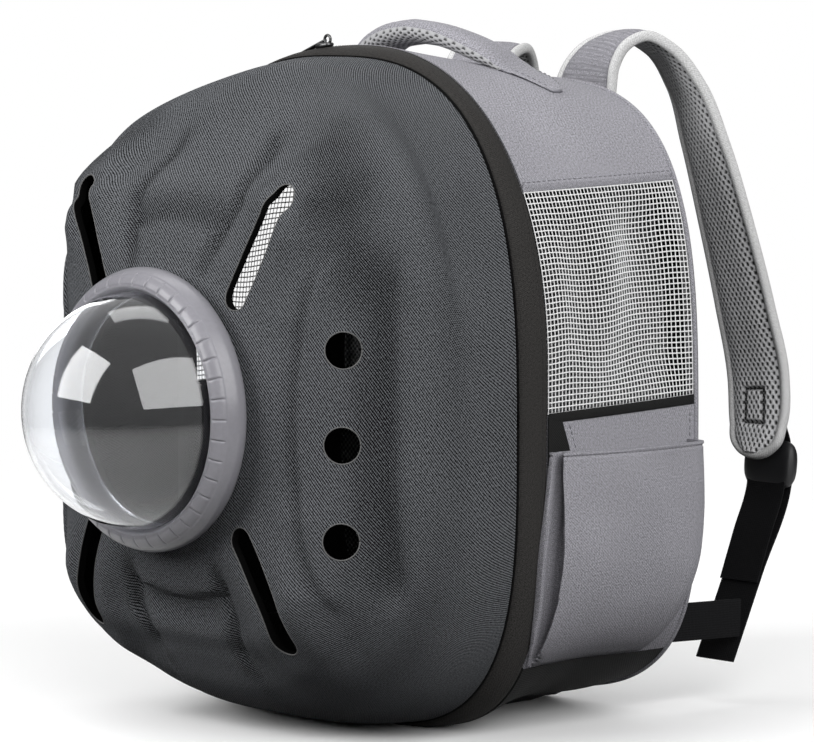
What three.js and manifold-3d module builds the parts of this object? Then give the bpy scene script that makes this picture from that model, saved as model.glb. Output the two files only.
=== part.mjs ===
// Pet carrier backpack with a clear dome window.
// Millimetres, +Z up, front towards -Y. The origin is the middle of the flat underside.
import * as THREE from 'three';
import { mergeVertices } from 'three/addons/utils/BufferGeometryUtils.js';
import Module from 'manifold-3d';

const wasm = await Module();
wasm.setup();

// Driving dimensions
const GAP = 0.3;
const CLOTH = 2.5;
const NET = 1.5;
const SHELL_WALL = 4;
const RIM_Y = -70;
const BAND_BACK_Y = -50;
const BODY_BACK_Y = 71;
const BACK_PAD = 9;
const WINDOW_Z = 199.5;
const BASE_TOP_Z = 42;
const TRIM_Z = 193;
const NET_BOTTOM_Z = 198;
const NET_TOP_Z = 329;
const NET_RISE = 4;
const BODY_SLICES = 5;

// Outlines of the bag across its width, from front to back: half width, top, bottom, height of the widest
// point, and how square the upper and lower corners are. A bottom below zero is pressed flat on the ground.
const BAND_FRONT = { halfWidth: 161, top: 411.5, bottom: -0.5, widest: 150, upper: 2.75, lower: 3.0 };
const BODY_SECTIONS = [
  { y: -50, halfWidth: 162.5, top: 418, bottom: -2.5, widest: 150, upper: 2.65, lower: 2.9 },
  { y: -20, halfWidth: 162.5, top: 411.5, bottom: 4, widest: 150, upper: 2.88, lower: 2.95 },
  { y: 10, halfWidth: 162.5, top: 405, bottom: 6, widest: 150, upper: 3.1, lower: 3.0 },
  { y: 45, halfWidth: 162.3, top: 397, bottom: 6, widest: 150, upper: 3.4, lower: 3.15 },
  { y: 71, halfWidth: 162, top: 391, bottom: 9, widest: 150, upper: 3.6, lower: 3.3 },
];
// The floor sags to the ground along its middle and rises beside it.
const SAG = { depth: 9.5, flat: 28, slope: 36 };

// The band between the shell and the cloth: place, share of the way to the cloth's outline, and swell.
const BAND_WALL = 3;
const BAND_LEVELS = [
  { y: RIM_Y + GAP, share: 0, puff: 0 },
  { y: -63, share: 0.45, puff: 1.5 },
  { y: BAND_BACK_Y, share: 1, puff: 0 },
];

// Crowned back pad: rings from its edge inwards, as shares of its outline and of its thickness.
const BACK_SIDES = 40;
const BACK_INSET = 0.5;
const BACK_MIDDLE_Z = 190;
const BACK_RINGS = [
  { scale: 1, bulge: 0.35 }, { scale: 0.985, bulge: 0.75 }, { scale: 0.93, bulge: 0.92 },
  { scale: 0.8, bulge: 1 }, { scale: 0.5, bulge: 1 },
];

// The shell's outlines at each depth in front of its rim, down to the round window opening.
const windowOutline = (depth, radius) => ({
  depth,
  halfWidth: radius,
  top: WINDOW_Z + radius,
  bottom: WINDOW_Z - radius,
  widest: WINDOW_Z,
  upper: 2,
  lower: 2,
});
const SHELL_SECTIONS = [
  { depth: 0, halfWidth: 160, top: 410, bottom: 2.5, widest: 150, upper: 2.75, lower: 3.2 },
  { depth: 40, halfWidth: 158.5, top: 401, bottom: 4, widest: 165, upper: 2.75, lower: 3.0 },
  { depth: 75, halfWidth: 156, top: 382, bottom: 13, widest: 185, upper: 3.0, lower: 3.0 },
  { depth: 98, halfWidth: 148, top: 355, bottom: 30, widest: 194, upper: 3.8, lower: 3.3 },
  { depth: 113, halfWidth: 127, top: 341, bottom: 48, widest: 198, upper: 4.4, lower: 3.8 },
  { depth: 125, halfWidth: 112, top: 329, bottom: 63, widest: 199, upper: 4.4, lower: 4.2 },
  { depth: 133, halfWidth: 102, top: 313, bottom: 82, widest: 199.5, upper: 3.6, lower: 3.6 },
  { depth: 139, halfWidth: 94, top: 299, bottom: 100, widest: 199.5, upper: 2.6, lower: 2.6 },
  windowOutline(143, 87),
  windowOutline(145.5, 80),
  windowOutline(146.5, 75.5),
];
const SHELL_ANGLES = 56;
const SHELL_DEPTHS = [0, 40, 70, 86, 96, 105, 113, 120, 127, 132, 136, 139.5, 143, 146.5];

// Raised pads of the shell, along their pierced slots: place across and up, and height above the face.
const SLOT_PADS = [
  [{ x: 62, z: 260, raise: 2 }, { x: 79, z: 298, raise: 4 }, { x: 94, z: 333, raise: 12 }],
  [{ x: 63, z: 135, raise: 1 }, { x: 81, z: 96, raise: 5 }, { x: 76, z: 58, raise: 3 }],
];
// The relief grows from nothing on the shell's flanks, and ends at the flat collar round the window.
const RELIEF = { startDepth: 55, growth: 45, collarRadius: 86, collarFade: 10 };
const SLOT_HALF_WIDTH = 7.2;
const SLOT_INSET = 8;
const SLOT_CUT = { startDepth: 60, length: 130 };
const PAD_FLAT = 15;
const PAD_SLOPE = 22;

// Channels beside the pads, above and below the window, and the collar round it.
const CHANNELS = [
  [{ x: 47, z: 374 }, { x: 44, z: 345 }, { x: 45, z: 320 }, { x: 34, z: 299 }, { x: 0, z: 319 }],
  [{ x: 40, z: 46 }, { x: 44, z: 72 }, { x: 34, z: 93 }, { x: 0, z: 73 }],
];
const CHANNEL_DEPTH = 5;
const CHANNEL_HALF_WIDTH = 9;

// Lens-shaped side pads with three round holes each.
const LENS = { x: 121, z: 192, halfWidth: 16, halfHeight: 110, raise: 4, edge: 7, tip: 6 };
const LENS_GROOVE = { x: 140, depth: 3, halfWidth: 6, tip: 4 };
const HOLE_RADIUS = 10.8;
const HOLE_CUT = { depth: 114, length: 60, turn: Math.PI / 4, sides: 16 };
const HOLES = [{ x: 125, z: 240 }, { x: 124, z: 185 }, { x: 123, z: 129 }];

// Window ring and dome: radius and depth in front of the shell's rim.
const RING_PROFILE = [
  [73.4, 149], [76, 146.9], [79.5, 148], [83, 151.5], [84.8, 155.5],
  [84, 159.5], [81, 162.2], [77.5, 163], [74.6, 161],
];
const RING_SIDES = 44;
const DOME_SIDES = 26;
const DOME_RADIUS = 73;
const DOME_WALL = 2;
const DOME_CENTRE = 158.5;
const DOME_SKIRT = 149;

const POCKET = { frontY: -49.4, bottom: 44, top: 174, wall: 2, swell: 3, swellDepth: 15, seat: 0.7 };
const POCKET_CORNER = { radius: 5, share: 0.6 };
// Pocket depth outside the side wall, and its rear edge, at each height.
const POCKET_SECTIONS = [
  { z: 44, out: 3.2, back: 46 }, { z: 62, out: 11, back: 53 }, { z: 84, out: 16, back: 60 },
  { z: 108, out: 17.5, back: 65 }, { z: 140, out: 17, back: 68 }, { z: 174, out: 16, back: 69 },
];

// Handle along X: distance from the middle, height above the top panel, half thickness, half width.
const HANDLE_Y = 17;
const HANDLE_STATIONS = [
  { x: 98, lift: 1.8, thick: 1.3, wide: 5 }, { x: 90, lift: 1.8, thick: 1.3, wide: 13 },
  { x: 78, lift: 1.8, thick: 1.3, wide: 15 }, { x: 66, lift: 2.2, thick: 1.7, wide: 15 },
  { x: 58, lift: 3.9, thick: 3, wide: 14.5 }, { x: 48, lift: 7, thick: 4.6, wide: 14 },
  { x: 36, lift: 11, thick: 5.5, wide: 14 }, { x: 20, lift: 15, thick: 5.5, wide: 14 },
  { x: 0, lift: 16.8, thick: 5.5, wide: 14 },
];

// Middle line of a shoulder strap: place, half width, and turn of its width about the vertical.
const STRAP_STATIONS = [
  { x: 51, y: 85.2, z: 366, wide: 26, turn: 0 }, { x: 51, y: 87, z: 382, wide: 26, turn: 0 },
  { x: 52, y: 92.5, z: 399, wide: 25.5, turn: -6 }, { x: 56, y: 103, z: 412, wide: 25, turn: -14 },
  { x: 63, y: 119, z: 417.5, wide: 24.5, turn: -22 }, { x: 72, y: 134, z: 409, wide: 24, turn: -24 },
  { x: 81, y: 147, z: 387, wide: 24, turn: -20 }, { x: 90, y: 156, z: 350, wide: 24, turn: -12 },
  { x: 99, y: 166, z: 300, wide: 24.5, turn: -6 }, { x: 106, y: 177, z: 246, wide: 25, turn: -2 },
  { x: 111, y: 184.5, z: 200, wide: 25, turn: 0 }, { x: 113, y: 182.5, z: 172, wide: 23, turn: 0 },
  { x: 113, y: 179.5, z: 158, wide: 18, turn: 0 }, { x: 113, y: 178, z: 153, wide: 11, turn: 0 },
];
// The left strap has slumped: its arch keeps this share of its height above the seam.
const SLUMP = { above: 382, keep: 0.5 };
const STRAP_HALF_THICK = 5;

// Adjuster behind the strap's end, the loop that sews it on, webbing through it, and the tab at the bag's
// lower corner.
const WEBBING_HALF_WIDTH = 16;
const WEBBING_HALF_THICK = 0.8;
const BUCKLE = { width: 41, height: 27, thick: 4, bar: 3.6, rail: 4 };
const BUCKLE_AT = new THREE.Vector3(117, 190, 146);
const BUCKLE_LEAN = 0.1;
const LOOP_SEAM = { bottom: 172, top: 200 };
const WEBBING_FOOT = new THREE.Vector3(117, 139, 25.5);
const WRAP_RADIUS = 3.7;
const TAIL_SHARE = 0.55;
const TAB_START = new THREE.Vector3(128, 80.2, 55);
const TAB_END = new THREE.Vector3(132, 145.2, 53);
const TAB_HALF_HEIGHT = 12;
const TAB_HALF_THICK = 1.2;

const ZIP_X = -35;
const ZIP_SEAT = 0.8;
const ZIP_TILT = -0.07;
const ZIP_PULL_SHIFT = 4;
const ZIP_SLIDER = { length: 13, width: 8, height: 4 };
const ZIP_PULL = { length: 20, width: 5, height: 1.6 };

const COLOURS = {
  shell: 0x3c3e42, ring: 0x8f8e94, dome: 0xf2f6f8, band: 0x2b2927, cloth: 0x8b8992, net: 0xe6e6e6,
  black: 0x141416, pad: 0x7d7c82, metal: 0x4a4a4c,
};

// Small helpers
const mix = (a, b, k) => a + (b - a) * k;
const smooth = (k) => {
  const c = Math.min(1, Math.max(0, k));
  return c * c * (3 - 2 * c);
};
const range = (count) => Array.from({ length: count + 1 }, (_, i) => i / count);

// Smooth curve through table rows without overshoot, for every named column.
function along(rows, key, at) {
  const last = rows.length - 1;
  let i = 0;
  while (i < last - 1 && at > rows[i + 1][key]) i += 1;
  const step = rows[i + 1][key] - rows[i][key];
  const k = Math.min(1, Math.max(0, (at - rows[i][key]) / step));
  const slope = (j, name) => (rows[j + 1][name] - rows[j][name]) / (rows[j + 1][key] - rows[j][key]);
  const tangent = (j, name) => {
    if (j === 0) return slope(0, name);
    if (j === last) return slope(last - 1, name);
    const before = slope(j - 1, name);
    const after = slope(j, name);
    return before * after > 0 ? (2 * before * after) / (before + after) : 0;
  };
  const row = {};
  for (const name of Object.keys(rows[0])) {
    const rise = rows[i + 1][name] - rows[i][name];
    const a = tangent(i, name) * step - rise;
    const b = rise - tangent(i + 1, name) * step;
    row[name] = mix(rows[i][name], rows[i + 1][name], k) + k * (1 - k) * (a * (1 - k) + b * k);
  }
  return row;
}

function mixOval(a, b, k) {
  const oval = {};
  for (const name of Object.keys(a)) oval[name] = mix(a[name], b[name], k);
  return oval;
}

function inset(oval, by) {
  return { ...oval, halfWidth: oval.halfWidth - by, top: oval.top - by, bottom: oval.bottom + by };
}

// Point of an outline at an angle from its right side, as [x, z].
function ovalPoint(oval, angle) {
  const c = Math.cos(angle);
  const s = Math.sin(angle);
  const power = 2 / (s > 0 ? oval.upper : oval.lower);
  const reach = s > 0 ? oval.top - oval.widest : oval.widest - oval.bottom;
  const x = Math.sign(c) * Math.abs(c) ** power * oval.halfWidth;
  const z = oval.widest + Math.sign(s) * Math.abs(s) ** power * reach;
  return [x, z];
}

// Angle at which an outline's right side reaches a height.
function angleAt(oval, z) {
  const up = z > oval.widest;
  const reach = up ? oval.top - oval.widest : oval.widest - oval.bottom;
  const share = Math.min(1, Math.abs(z - oval.widest) / reach);
  const angle = Math.asin(share ** ((up ? oval.upper : oval.lower) / 2));
  return up ? angle : -angle;
}

function bodyOval(y) {
  return along(BODY_SECTIONS, 'y', y);
}

function topHeight(x, y) {
  const oval = bodyOval(y);
  const share = 1 - Math.abs(x / oval.halfWidth) ** oval.upper;
  return oval.widest + share ** (1 / oval.upper) * (oval.top - oval.widest);
}

// Outline point of the cloth, some way inside its outer face, with the floor sagging to the ground.
function bodyPoint(oval, angle, by) {
  const [x, z] = ovalPoint(inset(oval, by), angle);
  const sag = z < oval.widest ? SAG.depth * (1 - smooth((Math.abs(x) - SAG.flat) / SAG.slope)) : 0;
  return [x, Math.max(z - sag, by)];
}

function sideReach(z, y) {
  const oval = bodyOval(y);
  return ovalPoint(oval, angleAt(oval, z))[0];
}

// Geometry from points and triangles, turned so that its faces point out.
function geometryOf(points, triangles) {
  let volume = 0;
  for (const [a, b, c] of triangles) volume += points[a].dot(points[b].clone().cross(points[c]));
  const index = triangles.flatMap(([a, b, c]) => (volume < 0 ? [a, c, b] : [a, b, c]));
  const geometry = new THREE.BufferGeometry().setFromPoints(points);
  geometry.setIndex(index);
  return geometry;
}

// Closed wall between an outer and an inner grid of points. A closed grid joins its last row to its first.
function wallGeometry(outer, inner, closed) {
  const rows = outer.length;
  const columns = outer[0].length;
  const points = [...outer.flat(), ...inner.flat()];
  const id = (layer, i, j) => layer * rows * columns + (i % rows) * columns + j;
  const triangles = [];
  const quad = (a, b, c, d) => triangles.push([a, b, c], [a, c, d]);
  const spans = closed ? rows : rows - 1;
  for (let i = 0; i < spans; i += 1) {
    for (let j = 0; j < columns - 1; j += 1) {
      quad(id(0, i, j), id(0, i + 1, j), id(0, i + 1, j + 1), id(0, i, j + 1));
      quad(id(1, i, j), id(1, i, j + 1), id(1, i + 1, j + 1), id(1, i + 1, j));
    }
    quad(id(0, i, 0), id(1, i, 0), id(1, i + 1, 0), id(0, i + 1, 0));
    const end = columns - 1;
    quad(id(0, i, end), id(0, i + 1, end), id(1, i + 1, end), id(1, i, end));
  }
  if (!closed) {
    for (let j = 0; j < columns - 1; j += 1) {
      const end = rows - 1;
      quad(id(0, 0, j), id(0, 0, j + 1), id(1, 0, j + 1), id(1, 0, j));
      quad(id(0, end, j), id(1, end, j), id(1, end, j + 1), id(0, end, j + 1));
    }
  }
  return geometryOf(points, triangles);
}

// Solid swept through frames, each with a point, two unit directions and half sizes along them.
// The section is a rectangle with cut corners.
function sweepGeometry(frames) {
  const corner = 0.6;
  const section = [[1, corner], [corner, 1], [-corner, 1], [-1, corner],
    [-1, -corner], [-corner, -1], [corner, -1], [1, -corner]];
  const count = section.length;
  const points = [];
  for (const { at, across, out, wide, thick } of frames) {
    const cut = Math.min(wide, thick) * (1 - corner);
    for (const [a, b] of section) {
      const u = Math.sign(a) * (Math.abs(a) === 1 ? wide : wide - cut);
      const v = Math.sign(b) * (Math.abs(b) === 1 ? thick : thick - cut);
      points.push(at.clone().addScaledVector(across, u).addScaledVector(out, v));
    }
  }
  const triangles = [];
  for (let i = 0; i < frames.length - 1; i += 1) {
    for (let j = 0; j < count; j += 1) {
      const a = i * count + j;
      const b = i * count + ((j + 1) % count);
      triangles.push([a, a + count, b + count], [a, b + count, b]);
    }
  }
  const end = (frames.length - 1) * count;
  for (let j = 1; j < count - 1; j += 1) {
    triangles.push([0, j, j + 1], [end, end + j + 1, end + j]);
  }
  return geometryOf(points, triangles);
}

// Frames along stations, each with a point, half sizes and a direction that its width keeps to.
function framesAlong(stations) {
  return stations.map(({ at, across, wide, thick }, i) => {
    const ahead = stations[Math.min(i + 1, stations.length - 1)].at;
    const tangent = ahead.clone().sub(stations[Math.max(i - 1, 0)].at).normalize();
    const side = across.clone().addScaledVector(tangent, -across.dot(tangent)).normalize();
    return { at, across: side, out: tangent.cross(side).normalize(), wide, thick };
  });
}

// Solid of a flat tape along a line of points.
function tapeGeometry(points, across, wide, thick) {
  return sweepGeometry(framesAlong(points.map((at) => ({ at, across, wide, thick }))));
}

function toSolid(geometry) {
  const bare = geometry.clone();
  bare.deleteAttribute('normal');
  bare.deleteAttribute('uv');
  const merged = mergeVertices(bare, 1e-4);
  return new wasm.Manifold(new wasm.Mesh({
    numProp: 3,
    vertProperties: new Float32Array(merged.attributes.position.array),
    triVerts: new Uint32Array(merged.index.array),
  }));
}

function fromSolid(solid) {
  const mesh = solid.getMesh();
  const geometry = new THREE.BufferGeometry();
  geometry.setAttribute('position', new THREE.BufferAttribute(new Float32Array(mesh.vertProperties), 3));
  geometry.setIndex(new THREE.BufferAttribute(new Uint32Array(mesh.triVerts), 1));
  return geometry;
}

// Shell relief
// Nearest place on a line of table rows: distance, and the raise there.
function nearestOn(rows, x, z) {
  let best = { distance: Infinity, raise: 0 };
  for (let i = 0; i < rows.length - 1; i += 1) {
    const dx = rows[i + 1].x - rows[i].x;
    const dz = rows[i + 1].z - rows[i].z;
    const free = ((x - rows[i].x) * dx + (z - rows[i].z) * dz) / (dx * dx + dz * dz);
    const k = Math.min(1, Math.max(0, free));
    const distance = Math.hypot(x - rows[i].x - k * dx, z - rows[i].z - k * dz);
    if (distance < best.distance) {
      best = { distance, raise: mix(rows[i].raise ?? 0, rows[i + 1].raise ?? 0, k) };
    }
  }
  return best;
}

// Extra depth of the shell's face at a place across and up.
function reliefAt(x, z) {
  const side = Math.abs(x);
  const clear = smooth((Math.hypot(x, z - WINDOW_Z) - RELIEF.collarRadius) / RELIEF.collarFade);
  let extra = 0;
  for (const pad of SLOT_PADS) {
    const near = nearestOn(pad, side, z);
    extra += near.raise * (1 - smooth((near.distance - PAD_FLAT) / PAD_SLOPE));
  }
  for (const line of CHANNELS) {
    const share = nearestOn(line, side, z).distance / CHANNEL_HALF_WIDTH;
    extra -= CHANNEL_DEPTH * Math.exp(-share * share);
  }
  const up = Math.min(1, Math.abs(z - LENS.z) / LENS.halfHeight);
  const half = LENS.halfWidth * (1 - up * up);
  const within = smooth((half - Math.abs(side - LENS.x)) / LENS.edge + 0.5);
  extra += LENS.raise * within * smooth((1 - up) * LENS.tip);
  const groove = (side - LENS_GROOVE.x) / LENS_GROOVE.halfWidth;
  extra -= LENS_GROOVE.depth * Math.exp(-groove * groove) * smooth((1 - up) * LENS_GROOVE.tip);
  return extra * clear;
}

function shellPoint(depth, angle) {
  const [x, z] = ovalPoint(along(SHELL_SECTIONS, 'depth', depth), angle);
  const share = smooth((depth - RELIEF.startDepth) / RELIEF.growth);
  return new THREE.Vector3(x, RIM_Y - depth - share * reliefAt(x, z), z);
}

function shellNormal(depth, angle) {
  const depthStep = 0.5;
  const angleStep = 0.01;
  const inward = Math.min(SHELL_SECTIONS.at(-1).depth, depth + depthStep);
  const outward = Math.max(0, depth - depthStep);
  const down = shellPoint(inward, angle).sub(shellPoint(outward, angle));
  const round = shellPoint(depth, angle + angleStep).sub(shellPoint(depth, angle - angleStep));
  return round.cross(down).normalize();
}

// The slot's line is its pad's line, shortened at both ends.
function slotLine(pad, side) {
  const line = pad.map(({ x, z }) => new THREE.Vector2(x * side, z));
  const last = line.length - 1;
  for (const [end, next] of [[0, 1], [last, last - 1]]) {
    const step = line[next].clone().sub(line[end]).setLength(SLOT_INSET);
    line[end].add(step);
  }
  return line;
}

function slotCutter(pad, side) {
  const line = slotLine(pad, side);
  const cutters = [];
  for (let i = 0; i < line.length - 1; i += 1) {
    const from = line[i];
    const to = line[i + 1];
    const turn = to.clone().sub(from).angle();
    const shape = new THREE.Shape();
    shape.absarc(from.x, from.y, SLOT_HALF_WIDTH, turn + Math.PI / 2, turn - Math.PI / 2);
    shape.absarc(to.x, to.y, SLOT_HALF_WIDTH, turn - Math.PI / 2, turn + Math.PI / 2);
    const settings = { depth: SLOT_CUT.length, bevelEnabled: false, curveSegments: 6 };
    const body = new THREE.ExtrudeGeometry(shape, settings);
    body.rotateX(Math.PI / 2);
    body.translate(0, RIM_Y - SLOT_CUT.startDepth, 0);
    cutters.push(toSolid(body));
  }
  return cutters.reduce((a, b) => a.add(b));
}

function holeCutter(hole, side) {
  const body = new THREE.CylinderGeometry(HOLE_RADIUS, HOLE_RADIUS, HOLE_CUT.length, HOLE_CUT.sides);
  body.rotateZ(side * HOLE_CUT.turn);
  body.translate(hole.x * side, RIM_Y - HOLE_CUT.depth, hole.z);
  return toSolid(body);
}

function makeShell() {
  const outer = [];
  const inner = [];
  for (let i = 0; i < SHELL_ANGLES; i += 1) {
    const angle = (i / SHELL_ANGLES) * 2 * Math.PI;
    outer.push(SHELL_DEPTHS.map((depth) => shellPoint(depth, angle)));
    inner.push(SHELL_DEPTHS.map((depth) => {
      const point = shellPoint(depth, angle).addScaledVector(shellNormal(depth, angle), -SHELL_WALL);
      if (depth === 0) point.y = RIM_Y;
      return point;
    }));
  }
  let solid = toSolid(wallGeometry(outer, inner, true));
  for (const side of [1, -1]) {
    for (const pad of SLOT_PADS) solid = solid.subtract(slotCutter(pad, side));
    for (const hole of HOLES) solid = solid.subtract(holeCutter(hole, side));
  }
  return fromSolid(solid);
}

// Cloth body
// Height of a seam that rises a little towards the back.
function seamAt(z, y) {
  return z + NET_RISE * ((y - BAND_BACK_Y) / (BODY_BACK_Y - BAND_BACK_Y) - 0.5);
}

// Wall strip between two angles of the body's outline, from front to back.
function stripGeometry(angles, wall, steps) {
  const grid = (by) => range(steps).map((u) => range(BODY_SLICES).map((v) => {
    const y = mix(BAND_BACK_Y + GAP, BODY_BACK_Y, v);
    const oval = bodyOval(y);
    const [low, high] = angles(oval, y);
    const [x, z] = bodyPoint(oval, mix(low, high, u), by);
    return new THREE.Vector3(x, y, z);
  }));
  return wallGeometry(grid(0), grid(wall), false);
}

function sideStrip(side, low, high, wall, steps) {
  const angles = (oval, y) => {
    const foot = low === BASE_TOP_Z ? low : seamAt(low, y);
    const pair = [angleAt(oval, foot + GAP), angleAt(oval, seamAt(high, y))];
    return side > 0 ? pair : pair.map((angle) => Math.PI - angle);
  };
  return stripGeometry(angles, wall, steps);
}

function makeTopPanel() {
  const angles = (oval, y) => {
    const hem = angleAt(oval, seamAt(NET_TOP_Z, y) + GAP);
    return [hem, Math.PI - hem];
  };
  return stripGeometry(angles, CLOTH, 20);
}

function makeBase() {
  const angles = (oval) => [-Math.PI - angleAt(oval, BASE_TOP_Z), angleAt(oval, BASE_TOP_Z)];
  return stripGeometry(angles, CLOTH, 20);
}

function makeBand() {
  const grid = (by) => range(SHELL_ANGLES).slice(0, -1).map((u) => BAND_LEVELS.map(({ y, share, puff }) => {
    const oval = inset(mixOval(BAND_FRONT, BODY_SECTIONS[0], share), by - puff);
    const [x, z] = ovalPoint(oval, u * 2 * Math.PI);
    return new THREE.Vector3(x, y, Math.max(z, by));
  }));
  return wallGeometry(grid(0), grid(BAND_WALL), true);
}

function makeBack() {
  const oval = bodyOval(BODY_BACK_Y);
  const front = BODY_BACK_Y + GAP;
  const middle = new THREE.Vector3(0, 0, BACK_MIDDLE_Z);
  const points = [];
  const ringAt = (scale, y) => {
    for (let i = 0; i < BACK_SIDES; i += 1) {
      const [x, z] = bodyPoint(oval, (i / BACK_SIDES) * 2 * Math.PI, BACK_INSET);
      const point = new THREE.Vector3(x, 0, z).lerp(middle, 1 - scale);
      points.push(point.setY(y));
    }
  };
  ringAt(1, front);
  for (const { scale, bulge } of BACK_RINGS) ringAt(scale, front + BACK_PAD * bulge);
  points.push(middle.clone().setY(front), middle.clone().setY(front + BACK_PAD));
  const triangles = [];
  for (let i = 0; i < BACK_SIDES; i += 1) {
    const next = (i + 1) % BACK_SIDES;
    for (let j = 0; j < BACK_RINGS.length; j += 1) {
      const a = j * BACK_SIDES + i;
      const b = j * BACK_SIDES + next;
      triangles.push([a, b, b + BACK_SIDES], [a, b + BACK_SIDES, a + BACK_SIDES]);
    }
    const last = BACK_RINGS.length * BACK_SIDES;
    triangles.push([next, i, points.length - 2], [last + i, last + next, points.length - 1]);
  }
  return geometryOf(points, triangles);
}

// Bellows pocket: a wall bent round three sides, flat against the side panel at its foot.
function makePocket(side) {
  const turns = [0, 0.5, 1];
  const swells = [0.25, 0.5, 0.75];
  const path = (z, by) => {
    const { out, back: rear } = along(POCKET_SECTIONS, 'z', z);
    const front = POCKET.frontY + by;
    const back = rear - by;
    const face = out - by;
    const radius = Math.min(POCKET_CORNER.radius, (face - POCKET.seat) * POCKET_CORNER.share);
    const line = [[POCKET.seat, front]];
    for (const k of turns) {
      const angle = (k * Math.PI) / 2;
      line.push([face - radius + radius * Math.sin(angle), front + radius - radius * Math.cos(angle)]);
    }
    for (const k of swells) {
      const swell = POCKET.swell * Math.min(1, out / POCKET.swellDepth) * 4 * k * (1 - k);
      line.push([face + swell, mix(front, back, k)]);
    }
    for (const k of turns) {
      const angle = (k * Math.PI) / 2;
      line.push([face - radius + radius * Math.cos(angle), back - radius + radius * Math.sin(angle)]);
    }
    line.push([POCKET.seat, back]);
    return line.map(([away, y]) => new THREE.Vector3(side * (sideReach(z, y) + away), y, z));
  };
  const heights = range(9).map((k) => mix(POCKET.bottom, POCKET.top, k));
  const grid = (by) => {
    const lines = heights.map((z) => path(z, by));
    return lines[0].map((_, i) => lines.map((line) => line[i]));
  };
  return wallGeometry(grid(0), grid(POCKET.wall), false);
}

// Handle and straps
function makeHandle() {
  const half = HANDLE_STATIONS;
  const rows = [...half.map((row) => ({ ...row, x: -row.x })), ...half.slice(0, -1).reverse()];
  return sweepGeometry(framesAlong(rows.map(({ x, lift, wide, thick }) => {
    const tilt = (topHeight(x + 1, HANDLE_Y) - topHeight(x - 1, HANDLE_Y)) / 2;
    const slope = (topHeight(x, HANDLE_Y + 10) - topHeight(x, HANDLE_Y - 10)) / 20;
    const z = topHeight(x, HANDLE_Y) + lift * Math.hypot(1, tilt, slope);
    return { at: new THREE.Vector3(x, HANDLE_Y, z), across: new THREE.Vector3(0, 1, slope), wide, thick };
  })));
}

function makeStrap(side) {
  return sweepGeometry(framesAlong(STRAP_STATIONS.map(({ x, y, z, wide, turn }) => {
    const angle = THREE.MathUtils.degToRad(turn);
    const across = new THREE.Vector3(Math.cos(angle), side * Math.sin(angle), 0);
    const drop = side < 0 ? Math.max(0, z - SLUMP.above) * (1 - SLUMP.keep) : 0;
    return { at: new THREE.Vector3(side * x, y, z - drop), across, wide, thick: STRAP_HALF_THICK };
  })));
}

// Adjuster's middle, its directions across, up and out of its face, and the pitch of its three bars.
function buckleFrame(side) {
  const at = BUCKLE_AT.clone().setX(side * BUCKLE_AT.x);
  const across = new THREE.Vector3(1, 0, 0);
  const up = new THREE.Vector3(0, BUCKLE_LEAN, 1).normalize();
  const out = across.clone().cross(up);
  return { at, across, up, out, pitch: (BUCKLE.height - BUCKLE.bar) / 2 };
}

function makeBuckle(side) {
  const { at, across, up, out, pitch } = buckleFrame(side);
  const inside = BUCKLE.width - 2 * BUCKLE.rail;
  let frame = toSolid(new THREE.BoxGeometry(BUCKLE.width, BUCKLE.height, BUCKLE.thick));
  for (const shift of [pitch / 2, -pitch / 2]) {
    const window = new THREE.BoxGeometry(inside, pitch - BUCKLE.bar, 2 * BUCKLE.thick);
    window.translate(0, shift, 0);
    frame = frame.subtract(toSolid(window));
  }
  const geometry = fromSolid(frame);
  geometry.applyMatrix4(new THREE.Matrix4().makeBasis(across, up, out).setPosition(at));
  return geometry;
}

// Line that comes from one point, runs round the far side of a bar, and ends at another.
function wrapLine(bar, far, out, from, to) {
  const arc = range(6).map((k) => bar.clone()
    .addScaledVector(far, WRAP_RADIUS * Math.sin(k * Math.PI))
    .addScaledVector(out, -WRAP_RADIUS * Math.cos(k * Math.PI)));
  return [...from, ...arc, ...to];
}

// Webbing from its foot, behind the lower bar, over the middle one and down in front, where its tail ends.
function makeWebbing(side) {
  const { at, across, up, out } = buckleFrame(side);
  const foot = WEBBING_FOOT.clone().setX(side * WEBBING_FOOT.x);
  const lower = at.clone().addScaledVector(up, -BUCKLE.height / 2);
  const clear = BUCKLE.thick / 2 + GAP + WEBBING_HALF_THICK;
  const behind = lower.clone().addScaledVector(out, -clear);
  const ahead = lower.clone().addScaledVector(out, clear);
  const tail = behind.clone().lerp(foot, TAIL_SHARE).addScaledVector(out, GAP + 2 * WEBBING_HALF_THICK);
  const line = wrapLine(at, up, out, [foot, behind], [ahead, tail]);
  return tapeGeometry(line, across, WEBBING_HALF_WIDTH, WEBBING_HALF_THICK);
}

// Loop round the adjuster's upper bar, doubled and sewn on behind the strap.
function makeLoop(side) {
  const { at, across, up, pitch } = buckleFrame(side);
  const bar = at.clone().addScaledVector(up, pitch);
  const sewn = STRAP_STATIONS.filter(({ z }) => z === LOOP_SEAM.top || z === LOOP_SEAM.bottom);
  const seat = STRAP_HALF_THICK + GAP + WEBBING_HALF_THICK;
  const layer = (away) => sewn.map(({ y, z }) => new THREE.Vector3(bar.x, y + away, z));
  const under = layer(seat);
  const over = layer(seat + GAP + 2 * WEBBING_HALF_THICK);
  const far = bar.clone().sub(under.at(-1)).normalize();
  const line = wrapLine(bar, far, far.clone().cross(across), over, under.reverse());
  return tapeGeometry(line, across, WEBBING_HALF_WIDTH, WEBBING_HALF_THICK);
}

function makeTab(side) {
  const mirror = new THREE.Vector3(side, 1, 1);
  const line = [TAB_START.clone().multiply(mirror), TAB_END.clone().multiply(mirror)];
  return tapeGeometry(line, new THREE.Vector3(0, 0, 1), TAB_HALF_HEIGHT, TAB_HALF_THICK);
}

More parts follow.
